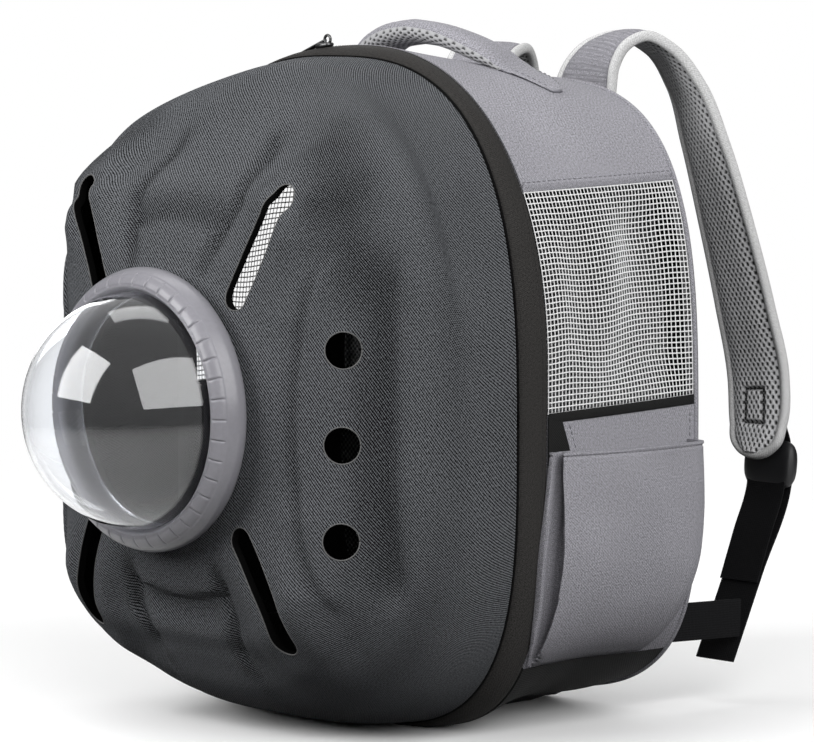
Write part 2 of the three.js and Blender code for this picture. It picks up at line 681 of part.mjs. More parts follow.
// Place on the crest of the band's top.
function bandCrest(x) {
  const { y, share, puff } = BAND_LEVELS[1];
  const oval = inset(mixOval(BAND_FRONT, BODY_SECTIONS[0], share), -puff);
  const rise = (1 - Math.abs(x / oval.halfWidth) ** oval.upper) ** (1 / oval.upper);
  return new THREE.Vector3(x, y, oval.widest + rise * (oval.top - oval.widest));
}

function plate(size) {
  const shape = new THREE.Shape();
  const radius = size.width / 2 - 0.5;
  const straight = size.length / 2 - radius;
  shape.absarc(straight, 0, radius, -Math.PI / 2, Math.PI / 2);
  shape.absarc(-straight, 0, radius, Math.PI / 2, (3 * Math.PI) / 2);
  return new THREE.ExtrudeGeometry(shape, { depth: size.height, bevelEnabled: false, curveSegments: 6 });
}

function lathe(profile, segments) {
  const points = profile.map(([radius, depth]) => new THREE.Vector2(radius, depth));
  return new THREE.LatheGeometry(points, segments);
}

function domeProfile() {
  const steps = range(6);
  const arc = (radius) => steps.map((k) => [
    radius * Math.sin((k * Math.PI) / 2), DOME_CENTRE + radius * Math.cos((k * Math.PI) / 2),
  ]);
  const outer = arc(DOME_RADIUS);
  const inner = arc(DOME_RADIUS - DOME_WALL).reverse();
  const skirt = [[DOME_RADIUS, DOME_SKIRT], [DOME_RADIUS - DOME_WALL, DOME_SKIRT]];
  const profile = [...outer, ...skirt, ...inner];
  profile[0][0] = 0;
  profile.at(-1)[0] = 0;
  return profile;
}

// Assembly
const carrier = new THREE.Group();

function add(name, geometry, colour, roughness, metalness = 0) {
  const material = new THREE.MeshStandardMaterial({ color: colour, roughness, metalness });
  const mesh = new THREE.Mesh(geometry, material);
  mesh.name = name;
  carrier.add(mesh);
  return mesh;
}

add('front_shell', makeShell(), COLOURS.shell, 0.85);
const ring = add('bubble_ring', lathe([...RING_PROFILE, RING_PROFILE[0]], RING_SIDES), COLOURS.ring, 0.45);
const dome = add('bubble_dome', lathe(domeProfile().reverse(), DOME_SIDES), COLOURS.dome, 0.05);
for (const part of [ring, dome]) {
  part.rotation.x = Math.PI;
  part.position.set(0, RIM_Y, WINDOW_Z);
}
dome.material.transparent = true;
dome.material.opacity = 0.2;

add('front_band', makeBand(), COLOURS.band, 0.9);
const slider = add('zipper_slider', plate(ZIP_SLIDER), COLOURS.metal, 0.4, 0.9);
slider.position.copy(bandCrest(ZIP_X));
slider.position.z += ZIP_SEAT;
const pull = add('zipper_pull', plate(ZIP_PULL), COLOURS.metal, 0.4, 0.9);
pull.position.copy(bandCrest(ZIP_X - ZIP_PULL_SHIFT));
pull.position.z += ZIP_SEAT + ZIP_SLIDER.height + GAP;
for (const part of [slider, pull]) part.rotation.y = ZIP_TILT;

add('top_panel', makeTopPanel(), COLOURS.cloth, 0.95);
add('base_panel', makeBase(), COLOURS.black, 0.9);
add('back_panel', makeBack(), COLOURS.pad, 0.95);
add('handle', makeHandle(), COLOURS.cloth, 0.95);
for (const [hand, side] of [['right', 1], ['left', -1]]) {
  add(`side_mesh_${hand}`, sideStrip(side, NET_BOTTOM_Z, NET_TOP_Z, NET, 6), COLOURS.net, 0.9);
  add(`mesh_trim_${hand}`, sideStrip(side, TRIM_Z, NET_BOTTOM_Z, CLOTH, 1), COLOURS.black, 0.9);
  add(`side_panel_${hand}`, sideStrip(side, BASE_TOP_Z, TRIM_Z, CLOTH, 8), COLOURS.cloth, 0.95);
  add(`side_pocket_${hand}`, makePocket(side), COLOURS.cloth, 0.95);
  add(`strap_pad_${hand}`, makeStrap(side), COLOURS.pad, 0.95);
  add(`strap_loop_${hand}`, makeLoop(side), COLOURS.black, 0.85);
  add(`strap_buckle_${hand}`, makeBuckle(side), COLOURS.black, 0.5);
  add(`strap_webbing_${hand}`, makeWebbing(side), COLOURS.black, 0.85);
  add(`strap_tab_${hand}`, makeTab(side), COLOURS.black, 0.85);
}

export default carrier;
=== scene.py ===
import math

import bpy
import numpy as np
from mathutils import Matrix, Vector
from mathutils.bvhtree import BVHTree


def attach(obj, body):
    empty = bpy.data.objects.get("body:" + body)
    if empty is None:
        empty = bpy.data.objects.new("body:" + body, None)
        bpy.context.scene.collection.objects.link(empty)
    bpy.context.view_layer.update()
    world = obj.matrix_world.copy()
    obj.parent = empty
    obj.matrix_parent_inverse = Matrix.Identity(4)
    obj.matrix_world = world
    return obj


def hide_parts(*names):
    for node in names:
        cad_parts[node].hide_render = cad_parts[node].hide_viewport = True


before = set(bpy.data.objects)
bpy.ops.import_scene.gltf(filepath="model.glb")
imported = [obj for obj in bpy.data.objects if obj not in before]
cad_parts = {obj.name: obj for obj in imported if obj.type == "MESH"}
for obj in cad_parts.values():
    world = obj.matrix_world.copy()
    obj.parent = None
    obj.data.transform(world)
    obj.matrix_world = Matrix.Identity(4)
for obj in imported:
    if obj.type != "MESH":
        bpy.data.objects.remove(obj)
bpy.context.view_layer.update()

# Looks of a pet carrier backpack with a clear dome window, dressed round its solids.
# Shapes are worked out in millimetres in the part's frame and turned into metres as they become meshes.
MM = 0.001
SIDES = (("right", 1), ("left", -1))

# Main sizes. The shell's wall and the band's back edge differ a little from the solids'.
CLOTH = 2.5
SHELL_WALL = 5.5
RIM_Y = -70
RIM_DEPTH = 5
BAND_BACK_Y = -53
BODY_BACK_Y = 71
BACK_PAD = 9
WINDOW_Z = 199.5
BASE_TOP_Z = 42
TRIM_Z = 193
NET_BOTTOM_Z = 198
NET_TOP_Z = 329
NET_RISE = 4

# Outlines of the bag: place, half width, top, bottom, height of the widest point, and squareness above
# and below that height
BAND_FRONT = (158.8, 407.5, -0.5, 190, 2.76, 3.35)
BODY_ROWS = [
    (-53, 160.5, 413, -2.5, 220, 2.21, 3.9), (-20, 161.8, 406.5, 4, 198, 2.55, 3.4),
    (10, 162.5, 401.5, 6, 174, 2.95, 3.1), (45, 162.3, 396, 6, 155, 3.35, 3.15),
    (71, 162, 391, 9, 150, 3.6, 3.3),
]
SAG_DEPTH, SAG_FLAT, SAG_SLOPE = 9.5, 28, 36
BAND_WALL = 3
BAND_ROWS = [(-74.7, 0, 0), (-66, 0.45, 1.5), (-53, 1, 0)]
COLLAR_ROWS = [(143, 87), (145.5, 80), (146.5, 75.5)]
SHELL_ROWS = [
    (RIM_DEPTH, 157.8, 406, 0.9, 190, 2.76, 3.39), (40, 157.5, 402.3, 4, 166, 2.35, 3.35),
    (75, 166.5, 380.4, 14, 176, 3.5, 2.55), (98, 146, 349.5, 29.4, 191, 4.05, 2.95),
    (113, 128.5, 340, 49.5, 198, 3.55, 3.95), (125, 112, 329, 63, 199, 4.4, 4.2),
    (133, 102, 313, 82, 199.5, 3.6, 3.6), (139, 94, 299, 100, 199.5, 2.6, 2.6),
    *((depth, r, WINDOW_Z + r, WINDOW_Z - r, WINDOW_Z, 2, 2) for depth, r in COLLAR_ROWS),
]

# Relief of the shell: slot pads and cheeks (across, up, raise), channels (across, up, depth), lens pads,
# and the cuts of its slots and holes
SLOT_PADS = [
    [(58.8, 261.5, 0), (68, 280, 1.5), (77.2, 298.5, 5), (86, 316.5, 9.8), (93, 334, 19.5)],
    [(62.5, 133, 1), (72.5, 115.5, 3.5), (80.5, 98, 5.5), (86.5, 79.5, 6.5), (87.5, 59.5, 7)],
]
CHANNELS = [
    [(41, 358, 0), (43, 345, 4), (46, 321, 6), (37, 295, 5), (33, 286, 0)],
    [(40, 106, 0), (42, 95, 5), (44, 76, 6), (39, 56, 5), (36, 44, 0)],
]
RELIEF_START, RELIEF_GROWTH, COLLAR_RADIUS, COLLAR_FADE = 55, 45, 86, 10
PAD_FLAT, PAD_SLOPE, CHANNEL_HALF_WIDTH = 13, 20, 5
COLLAR_EDGE, COLLAR_STEP, RECESS_DEPTH, RECESS_REACH = 111, 4, 6, 30
TONGUE_HALF_WIDTH, TONGUE_END, TONGUE_RAISE = 45, 340, 3
TONGUE_EDGE, TONGUE_FADE = 9, 12
CHEEKS = [
    [(102, 345, -2), (107, 302, 8.3), (104, 262, 3.5)],
    [(104, 135, 4.7), (107, 95, 9.4), (98, 55, 1)],
]
CHEEK_HALF_WIDTH = 14
LENS_X, LENS_Z, LENS_HALF_WIDTH, LENS_HALF_HEIGHT = 121, 192, 16, 110
LENS_RAISE, LENS_EDGE, LENS_TIP = 4.5, 6, 6
GROOVE_X, GROOVE_DEPTH, GROOVE_HALF_WIDTH, GROOVE_TIP = 142, 7, 7, 4
SLOT_HALF_WIDTH, SLOT_INSET, SLOT_CUT = 8.2, 8, (60, 190)
HOLES = [(125, 240), (124, 185), (123, 129)]
HOLE_RADIUS, HOLE_DEPTH, HOLE_CUT = 10.8, 114, 30
VENT_EDGE, VENT_LIFT = 0.45, 0.15
RAY_FROM_HOLE, RAY_FROM_SLOT = 60, 240
SHELL_COLUMNS, SHELL_SHARP, SHELL_WEAVE = 360, 38, 0.84

# Painted shade in the shell's creases, along the valley and round the collar: width and strength of each
# dark line, and the line of the valley
CHANNEL_SHADE, GROOVE_SHADE, LENS_SHADE, VALLEY_SHADE = (6, 0.8), (9, 1), (4, 0.5), (15, 0.85)
COLLAR_SHADE_IN, COLLAR_SHADE_OUT, COLLAR_SHADE = 4, 12, 0.7
VALLEY = [(90, 366), (114, 338), (124, 305), (140, 270)]

# Window: radius and depth in front of the shell's rim
RING_PROFILE = [
    (71.2, 151), (74, 148.2), (78, 148.2), (81.5, 150.3), (83.9, 154), (84.4, 158), (83.2, 162.5),
    (80.6, 167), (77, 170), (73.8, 170.8), (71.4, 168.6),
]
RING_FRONT = 156
RING_GROOVES, NOTCH_DEPTH, LINE_DEPTH = 41, 0.9, 0.45
NOTCH_RADII = (74.6, 81.4)
DOME_RADIUS, DOME_WALL, DOME_CENTRE, DOME_SKIRT = 70.8, 2, 161.5, 151

# Pocket: height, depth outside the side wall, rear edge, front edge's depth and setback, seam's place
POCKET_ROWS = [
    (44, 4.5, 46, 3, 1, -52), (53, 10, 50, 6, 3, -54), (65, 13, 54, 9, 5, -56.5),
    (84, 15.5, 60, 11.5, 7.5, -58.5), (108, 17, 64, 12.5, 8.5, -59.5), (140, 16.5, 66, 10.5, 6, -56.5),
    (174, 15, 66, 8, 2.6, -52.4),
]
POCKET_WALL, POCKET_SEAT, POCKET_SWELL, POCKET_SWELL_DEPTH = 2, 0.7, 3, 15
POCKET_HEM_Z, POCKET_STITCH = 171.5, (1.6, 1.2, 0.3)

# Slanted end of the black strip beside the pocket, and two rows of stitches: heights and places
SLANT_HEIGHTS = (174, 192)
STRIP_END, STRIP_STITCHES, REAR_STITCHES = (-36, -42.5), (-30.5, -37), (67, 67)

# Handle, leaning forward: distance from the middle, lift above the top panel, half thickness, half
# width, lean
HANDLE_Y = 17
HANDLE_ROWS = [
    (0, 16.4, 7.2, 14, 23), (20, 14.6, 7.2, 14, 22), (36, 11.5, 7.2, 15, 18.5), (47, 8.6, 6.8, 16, 14),
    (56, 6, 5.2, 16.5, 9.5), (63, 3.6, 3, 16.5, 5.5), (72, 1.9, 1.4, 15.5, 2), (87, 1.8, 1.3, 11, 0),
    (98, 1.8, 1.3, 4, 0),
]
HANDLE_END, HANDLE_MESH_END = 97.5, 62

# Shoulder strap: place, half width, turn of its width about the vertical
STRAP_ROWS = [
    (51, 85.2, 366, 26, 0), (51, 87, 382, 26, 0), (52, 92.5, 399, 25.5, -6), (56, 103, 412, 25, -14),
    (63, 119, 417.5, 24.5, -22), (72, 134, 409, 24, -24), (81, 147, 387, 24, -20), (90, 156, 350, 24, -12),
    (99, 166, 300, 24.5, -6), (106, 177, 246, 25, -2), (111, 184.5, 200, 25, 0), (113, 182.5, 172, 23, 0),
    (113, 179.5, 158, 18, 0), (113, 178, 153, 11, 0),
]
SLUMP_ABOVE, SLUMP_KEEP = 382, 0.75
STRAP_HALF_THICK = 5
MESH_COLUMNS, CLOTH_COLUMNS = 58, 14
BINDING_INSET, BINDING_HALF_WIDTH, BINDING_HALF_THICK = 2.5, 2.6, STRAP_HALF_THICK - 1.5
# Box of stitches on the strap's end: half width, height, half height, and the strap's row it lies after
PATCH_HALF_WIDTH, PATCH_Z, PATCH_HALF_HEIGHT, PATCH_FROM = 7.6, 183, 11, 150
WEBBING_HALF_WIDTH, WEBBING_HALF_THICK = 16, 0.8
BUCKLE_AT, BUCKLE_LEAN, BUCKLE_HEIGHT, BUCKLE_THICK, BUCKLE_BAR = (117, 190, 146), 0.1, 27, 4, 3.6
ADJUSTER_HALF_WIDTH, ADJUSTER_HALF_THICK, ADJUSTER_HALF_HEIGHT = 20.5, 5.6, 15.5
WEBBING_FOOT, WRAP_RADIUS, TAIL_SHARE = (117, 139, 25.5), 3.7, 0.55
LOOP_SEAM, LOOP_HALF_WIDTH = ((184.5, 200), (182.5, 172)), 12.5
TAB_START, TAB_END, TAB_HALF_HEIGHT, TAB_HALF_THICK = (128, 80.2, 55), (132, 145.2, 53), 12, 1.2
GAP = 0.3
SLIDER_X, SLIDER_Y = -27, -62

# Fine details
NET_ROWS, NET_COLUMNS, NET_STRAND = 41, 45, 0.45
MESH_PITCH, MESH_LENGTH = 3.8, 6.2
STITCH, STITCH_GAP, STITCH_RADIUS = 2.6, 1.5, 0.32
PIPING_SIDES, PIPING_FLOOR = 8, 0.2
WEAVE = "weave"

# Studio and camera
AMBIENT = 0.27
SEEN_THROUGH = 1.12
FLOOR_Z, FLOOR_NEAR, FLOOR_REACH = -0.4, 450, 1500
FLOOR_COLOUR = (0.93, 0.93, 0.93, 1)
CAMERA_AT, CAMERA_TARGET = (1.979777, -1.863713, 0.446765), (0.012636, -0.029324, 0.211445)
CAMERA_LENS, CAMERA_SENSOR, CAMERA_FAR = 192.97, 36, 200


# Numbers along tables and outlines
def smooth(k):
    k = np.clip(k, 0, 1)
    return k * k * (3 - 2 * k)


def bell(k):
    """1 at 0, about a third at 1 and almost nothing from 2."""
    return np.exp(-k ** 2)


def cubic(places, rows, slopes, at):
    """Rows of values between known places, on cubic curves with the slopes given there."""
    i = np.clip(np.searchsorted(places, at) - 1, 0, len(places) - 2)
    step = (places[i + 1] - places[i])[..., None]
    k = (at - places[i])[..., None] / step
    rise = rows[i + 1] - rows[i]
    a = slopes[i] * step - rise
    b = rise - slopes[i + 1] * step
    return rows[i] + rise * k + k * (1 - k) * (a * (1 - k) + b * k)


def curve(rows, at):
    """Smooth values of all columns at places along the first one, without overshoot."""
    rows = np.array(rows, float)
    x = rows[:, 0]
    at = np.clip(np.asarray(at, float), x[0], x[-1])
    slopes = np.diff(rows, axis=0) / np.diff(x)[:, None]
    before, after = slopes[:-1], slopes[1:]
    same = before * after > 0
    inner = np.where(same, 2 * before * after / np.where(same, before + after, 1), 0)
    return cubic(x, rows, np.vstack([slopes[:1], inner, slopes[-1:]]), at)


def between(at, places, rows):
    """Rows of values at places along a line, on straight steps."""
    return np.stack([np.interp(at, places, column) for column in rows.T], 1)


def spline(points, count):
    """Smooth line through rows of values, evenly spaced along its length in space."""
    p = np.asarray(points, float)
    t = travel(p[:, :3])
    fine = cubic(t, p, np.gradient(p, t, axis=0), np.linspace(0, t[-1], count * 4))
    length = travel(fine[:, :3])
    return between(np.linspace(0, length[-1], count), length, fine)


def xyz(x, y, z):
    return np.stack(np.broadcast_arrays(x, y, z), -1)


def oval_sizes(oval):
    return np.moveaxis(np.asarray(oval, float), -1, 0)


def oval_point(oval, angle, inset=0):
    half, top, bottom, widest, upper, lower = oval_sizes(oval)
    c, s = np.cos(angle), np.sin(angle)
    power = 2 / np.where(s > 0, upper, lower)
    reach = np.where(s > 0, top - widest, widest - bottom) - inset
    x = np.sign(c) * np.abs(c) ** power * (half - inset)
    return x, widest + np.sign(s) * np.abs(s) ** power * reach


def angle_at(oval, z):
    _, top, bottom, widest, upper, lower = oval_sizes(oval)
    up = z > widest
    share = np.minimum(1, np.abs(z - widest) / np.where(up, top - widest, widest - bottom))
    return np.where(up, 1, -1) * np.arcsin(share ** (np.where(up, upper, lower) / 2))


def body_oval(y):
    return curve(BODY_ROWS, y)[..., 1:]


def body_point(y, angle, away=0.0):
    """Point of the cloth's outline, some way outside it, with the floor sagging to the ground."""
    oval = body_oval(y)
    x, z = oval_point(oval, angle, -away)
    sag = SAG_DEPTH * (1 - smooth((np.abs(x) - SAG_FLAT) / SAG_SLOPE))
    z = np.maximum(np.where(z < oval[..., 3], z - sag, z), np.maximum(-away, 0))
    return xyz(x, y, z)


def side_reach(z, y):
    oval = body_oval(y)
    return oval_point(oval, angle_at(oval, z))[0]


def side_point(side, z, y, away):
    return xyz(side * (side_reach(z, y) + away), y, z)


def top_height(x, y):
    half, top, _, widest, upper, _ = oval_sizes(body_oval(y))
    return widest + (1 - np.abs(x / half) ** upper) ** (1 / upper) * (top - widest)


def seam_at(z, y):
    return z + NET_RISE * ((y - BAND_BACK_Y) / (BODY_BACK_Y - BAND_BACK_Y) - 0.5)


def unit(v):
    return v / np.maximum(np.linalg.norm(v, axis=-1, keepdims=True), 1e-9)


def upright(v, tangent):
    """Directions turned to stand square on a line with those tangents."""
    return unit(v - (v * tangent).sum(1, keepdims=True) * tangent)


def grid_normals(p):
    """Normals of a grid whose rows close, towards its first direction crossed with its second."""
    first = np.roll(p, -1, 0) - np.roll(p, 1, 0)
    return unit(np.cross(first, np.gradient(p, axis=1)))


def travel(points, axis=0):
    """Distance gone along one direction of a line or grid of points."""
    steps = np.linalg.norm(np.diff(points, axis=axis), axis=-1)
    start = np.zeros_like(np.take(steps, [0], axis))
    return np.cumsum(np.concatenate([start, steps], axis), axis)


def grid_weave(grid):
    return np.stack([travel(grid, 0), travel(grid, 1)], -1).reshape(-1, 2)


def ring_weave(rings):
    """Places on the cloth of a solid through rings, with its two end points."""
    along = np.broadcast_to(travel(rings.mean(1))[:, None], rings.shape[:2])
    places = np.stack([travel(rings, 1), along], -1)
    return np.concatenate([places.reshape(-1, 2), places[[0, -1]].mean(1)])


# Meshes
def place(name, data):
    thing = bpy.data.objects.new(name, data)
    bpy.context.scene.collection.objects.link(thing)
    return thing


def plain_mesh(name, points, faces, looks):
    """Mesh of points in millimetres, with the materials of one look or several."""
    mesh = bpy.data.meshes.new(name)
    points = np.asarray(points, float).reshape(-1, 3) * MM
    mesh.from_pydata(points.tolist(), [], [list(map(int, f)) for f in faces])
    for look in [looks] if isinstance(looks, str) else looks:
        mesh.materials.append(LOOKS[look])
    return mesh


def add_mesh(name, points, faces, looks, which=None, slot=None, replaces=(), sharp=None, weave=None):
    """A piece with places on its cloth, in millimetres as its points are, for the weave."""
    mesh = plain_mesh(name, points, faces, looks)
    if which is not None:
        mesh.polygons.foreach_set("material_index", np.asarray(which, np.int32))
    mesh.polygons.foreach_set("use_smooth", np.ones(len(mesh.polygons), bool))
    mesh.update()
    if weave is not None:
        corners = np.empty(len(mesh.loops), np.int32)
        mesh.loops.foreach_get("vertex_index", corners)
        layer = mesh.uv_layers.new(name=WEAVE)
        layer.uv.foreach_set("vector", np.asarray(weave, np.float32).reshape(-1, 2)[corners].ravel())
    if sharp:
        mesh.set_sharp_from_angle(angle=math.radians(sharp))
    piece = place(name, mesh)
    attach(piece, "root")
    if replaces:
        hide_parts(*replaces)
    return piece


def store(piece, name, values):
    """Values kept on a piece's points for its material."""
    attribute = piece.data.attributes.new(name, "FLOAT", "POINT")
    attribute.data.foreach_set("value", np.asarray(values, np.float32))


def quads(rows, columns, wrap_rows=False, wrap_columns=False, start=0, flip=False):
    at = np.arange(rows * columns).reshape(rows, columns) + start
    if wrap_rows:
        at = np.vstack([at, at[:1]])
    if wrap_columns:
        at = np.hstack([at, at[:, :1]])
    faces = np.stack([at[:-1, :-1], at[1:, :-1], at[1:, 1:], at[:-1, 1:]], -1).reshape(-1, 4)
    return faces[:, ::-1] if flip else faces


def outward(points, faces):
    """Faces turned round if they enclose a negative volume."""
    p = np.asarray(points).reshape(-1, 3)
    f = np.asarray(faces)
    volume = np.einsum("ij,ij->i", p[f[:, 0]], np.cross(p[f[:, 1]], p[f[:, 2]])).sum()
    volume += np.einsum("ij,ij->i", p[f[:, 0]], np.cross(p[f[:, 2]], p[f[:, 3]])).sum()
    return f[:, ::-1] if volume < 0 else f


def wall(outer, inner, closed=False):
    """Points and faces of a closed wall between two grids. Faces of the outer one come first."""
    rows, columns = outer.shape[:2]
    size = rows * columns
    points = np.concatenate([outer.reshape(-1, 3), inner.reshape(-1, 3)])
    faces = [quads(rows, columns, closed), quads(rows, columns, closed, start=size, flip=True)]
    i = np.arange(rows if closed else rows - 1)
    for j, turn in ((0, 1), (columns - 1, -1)):
        a = i * columns + j
        b = (i + 1) % rows * columns + j
        faces.append(np.stack([a, a + size, b + size, b], 1)[:, ::turn])
    if not closed:
        j = np.arange(columns - 1)
        for i, turn in ((0, 1), (rows - 1, -1)):
            a = i * columns + j
            faces.append(np.stack([a, a + 1, a + 1 + size, a + size], 1)[:, ::turn])
    return points, outward(points, np.concatenate(faces))


def rings_solid(rings):
    """Points and faces of a solid through closed rings of points, capped by a point at each end."""
    count, size = rings.shape[:2]
    points = np.concatenate([rings.reshape(-1, 3), rings[[0, -1]].mean(1)])
    j = np.arange(size)
    k = (j + 1) % size
    last, end = (count - 1) * size, np.full(size, count * size)
    start_cap = np.stack([j, k, end, end], 1)
    end_cap = np.stack([last + k, last + j, end + 1, end + 1], 1)
    faces = outward(points, np.concatenate([quads(count, size, wrap_columns=True), start_cap, end_cap]))
    return points, [f[:3] if f[2] == f[3] else f[1:] if f[0] == f[1] else f for f in faces.tolist()]


def tube_rings(path, wide, thick, across, sides, square=2.0):
    """Rings along a path: an oval, or squarer, section with its width along across."""
    path = np.asarray(path, float)
    tangent = unit(np.gradient(path, axis=0))
    side = upright(np.broadcast_to(np.asarray(across, float), path.shape), tangent)
    out = np.cross(tangent, side)
    angle = np.arange(sides) / sides * 2 * math.pi
    c, s = np.cos(angle), np.sin(angle)
    u = np.sign(c) * np.abs(c) ** (2 / square)
    v = np.sign(s) * np.abs(s) ** (2 / square)
    wide = np.broadcast_to(np.asarray(wide, float), len(path))[:, None, None]
    thick = np.broadcast_to(np.asarray(thick, float), len(path))[:, None, None]
    return path[:, None] + side[:, None] * u[None, :, None] * wide + out[:, None] * v[None, :, None] * thick


def joined(parts):
    """Several points-and-faces pairs as one."""
    points, faces, start = [], [], 0
    for p, f in parts:
        p = np.asarray(p, float).reshape(-1, 3)
        points.append(p)
        faces += [[int(v) + start for v in face] for face in f]
        start += len(p)
    return np.concatenate(points), faces


def stitch_parts(line, normal, length=STITCH, gap=STITCH_GAP, radius=STITCH_RADIUS):
    """Short threads along a line, lying on a surface with that normal."""
    line = np.asarray(line, float)
    gone = travel(line)
    normal = np.broadcast_to(np.asarray(normal, float), line.shape)
    parts = []
    for start in np.arange(gap / 2, gone[-1] - length, length + gap):
        at = start + length * np.array([0, 0.2, 0.5, 0.8, 1])
        up = between(at, gone, normal)
        path = between(at, gone, line) + up * (radius * np.array([-0.6, 0.3, 0.55, 0.3, -0.6]))[:, None]
        size = radius * np.array([0.5, 0.95, 1, 0.95, 0.5])
        parts.append(rings_solid(tube_rings(path, size, size, up, 5)))
    return parts


def add_rings(name, rings, look, slot, replaces=(), sharp=None, woven=True):
    """A piece that is one solid through rings."""
    points, faces = rings_solid(rings)
    weave = ring_weave(rings) if woven else None
    return add_mesh(name, points, faces, look, slot=slot, replaces=replaces, sharp=sharp, weave=weave)


def add_parts(name, parts, look, slot, replaces=()):
    """A piece that is made of several points-and-faces pairs."""
    return add_mesh(name, *joined(parts), look, slot=slot, replaces=replaces)


def add_stitches(name, lines, look, slot, *sizes):
    """Rows of stitches, from pairs of a line and the normal of what it lies on."""
    parts = [part for line, normal in lines for part in stitch_parts(line, normal, *sizes)]
    add_parts(name, parts, look, slot)


def add_wall(name, outer, inner, look, slot, replaces=(), sharp=50, closed=False, lined=False):
    """A piece that is a wall of cloth between two grids, with a black lining if asked."""
    points, faces = wall(outer, inner, closed)
    inside = faces.min(1) >= len(points) // 2 if lined else None
    weave = np.tile(grid_weave(outer), (2, 1))
    add_mesh(name, points, faces, [look, "lining"] if lined else look, inside, slot, replaces, sharp, weave)


def add_piping(name, line, radius, look, slot, woven=True):
    """A cord along a closed line, kept above the floor."""
    rings = tube_rings(np.vstack([line, line[:1]]), radius, radius, (0, 1, 0), PIPING_SIDES)[:-1]
    rings[..., 2] = np.maximum(rings[..., 2], PIPING_FLOOR)
    faces = outward(rings, quads(len(rings), PIPING_SIDES, True, True))
    add_mesh(name, rings, faces, look, slot=slot, weave=ring_weave(rings)[:-2] if woven else None)


# Materials
class Nodes:
    """A material with a Principled shader, and short ways to add nodes to it. Places are in millimetres."""

    def __init__(self, name, roughness, woven=False, **sockets):
        self.material = bpy.data.materials.new(name)
        self.material.use_nodes = True
        self.tree = self.material.node_tree
        self.shader = self.tree.nodes["Principled BSDF"]
        self.shader.inputs["Roughness"].default_value = roughness
        for socket, value in sockets.items():
            self.shader.inputs[socket.replace("_", " ")].default_value = value
        if woven:
            self.place = self.add("ShaderNodeUVMap", uv_map=WEAVE).outputs["UV"]
        else:
            scale = self.add("ShaderNodeVectorMath", operation="SCALE")
            scale.inputs["Scale"].default_value = 1 / MM
            self.link(self.add("ShaderNodeTexCoord").outputs["Object"], scale.inputs[0])
            self.place = scale.outputs[0]

    def add(self, kind, **settings):
        node = self.tree.nodes.new(kind)
        for key, value in settings.items():
            setattr(node, key, value)
        return node

    def link(self, source, target):
        if isinstance(source, (int, float)):
            target.default_value = source
        else:
            self.tree.links.new(source, target)

    def math(self, operation, a, b=0.0):
        node = self.add("ShaderNodeMath", operation=operation)
        self.link(a, node.inputs[0])
        self.link(b, node.inputs[1])
        return node.outputs[0]

    def wave(self, direction, pitch):
        """Sine wave along a direction, from -1 to 1."""
        node = self.add("ShaderNodeVectorMath", operation="DOT_PRODUCT")
        self.link(self.place, node.inputs[0])
        node.inputs[1].default_value = Vector((*direction, 0, 0)[:3]).normalized() * (2 * math.pi / pitch)
        return self.math("SINE", node.outputs["Value"])

    def noise(self, size, detail=2.0):
        """Cloudy value about 0."""
        node = self.add("ShaderNodeTexNoise")
        self.link(self.place, node.inputs["Vector"])
        node.inputs["Scale"].default_value = 1 / size
        node.inputs["Detail"].default_value = detail
        return self.math("SUBTRACT", node.outputs["Fac"], 0.5)

    def mix(self, *terms):
        """Sum of values, each with its weight."""
        total = None
        for value, weight in terms:
            part = self.math("MULTIPLY", value, weight)
            total = part if total is None else self.math("ADD", total, part)
        return total

    def ramp(self, value, dark, light):
        """Colour between two, as the value goes from -0.5 to 0.5."""
        node = self.add("ShaderNodeValToRGB")
        for element, colour in zip(node.color_ramp.elements, (dark, light)):
            element.color = (*colour, 1)
        self.link(self.math("ADD", value, 0.5), node.inputs["Fac"])
        self.link(node.outputs["Color"], self.shader.inputs["Base Color"])

    def bump(self, height, depth, strength=1.0):
        node = self.add("ShaderNodeBump")
        node.inputs["Distance"].default_value = depth * MM
        node.inputs["Strength"].default_value = strength
        self.link(height, node.inputs["Height"])
        self.link(node.outputs["Normal"], self.shader.inputs["Normal"])


def grey(value, tint=(1, 1, 1)):
    return tuple(value * t for t in tint)


def cloth(name, dark, light, pitch, tint=(1, 1, 1), lines=0.3, threads=0.15, fuzz=0.9, clouds=0.1,
          depth=0.12, roughness=0.85, shine=0.2, crease=0.0):
    """Woven cloth: twill lines crossed by finer threads, broken by fuzz, darker in patches, and with
    painted shade in creases.
    """
    n = Nodes(name, roughness, True, Specular_IOR_Level=shine)
    height = n.mix((n.wave((1, 1), pitch), lines), (n.wave((1, -1), pitch * 0.75), threads),
                   (n.noise(pitch * 0.9, 3), fuzz))
    shade = n.mix((height, 1), (n.noise(45), clouds * 2))
    # Painted shade: the stored crease value darkens the colour where shade falls in creases.
    if crease:
        painted_shade = n.add("ShaderNodeAttribute", attribute_name="crease").outputs["Fac"]
        shade = n.mix((shade, 1), (painted_shade, -crease))
    n.ramp(shade, grey(dark, tint), grey(light, tint))
    n.bump(height, depth)
    return n.material


def thread(name, dark, light, tint=(1, 1, 1)):
    n = Nodes(name, 0.8, Specular_IOR_Level=0.2)
    fuzz = n.noise(0.6, 3)
    n.ramp(n.mix((fuzz, 1.2), (n.noise(20), 0.4)), grey(dark, tint), grey(light, tint))
    n.bump(fuzz, 0.1)
    return n.material


def webbing_material():
    n = Nodes("webbing", 0.8, True, Specular_IOR_Level=0.1)
    height = n.mix((n.wave((1, 0), 1.5), 0.25), (n.wave((0, 1), 1.2), 0.2), (n.noise(1.0, 3), 0.8))
    n.ramp(height, grey(0.002), grey(0.009, (1, 1, 1.15)))
    n.bump(height, 0.2)
    return n.material


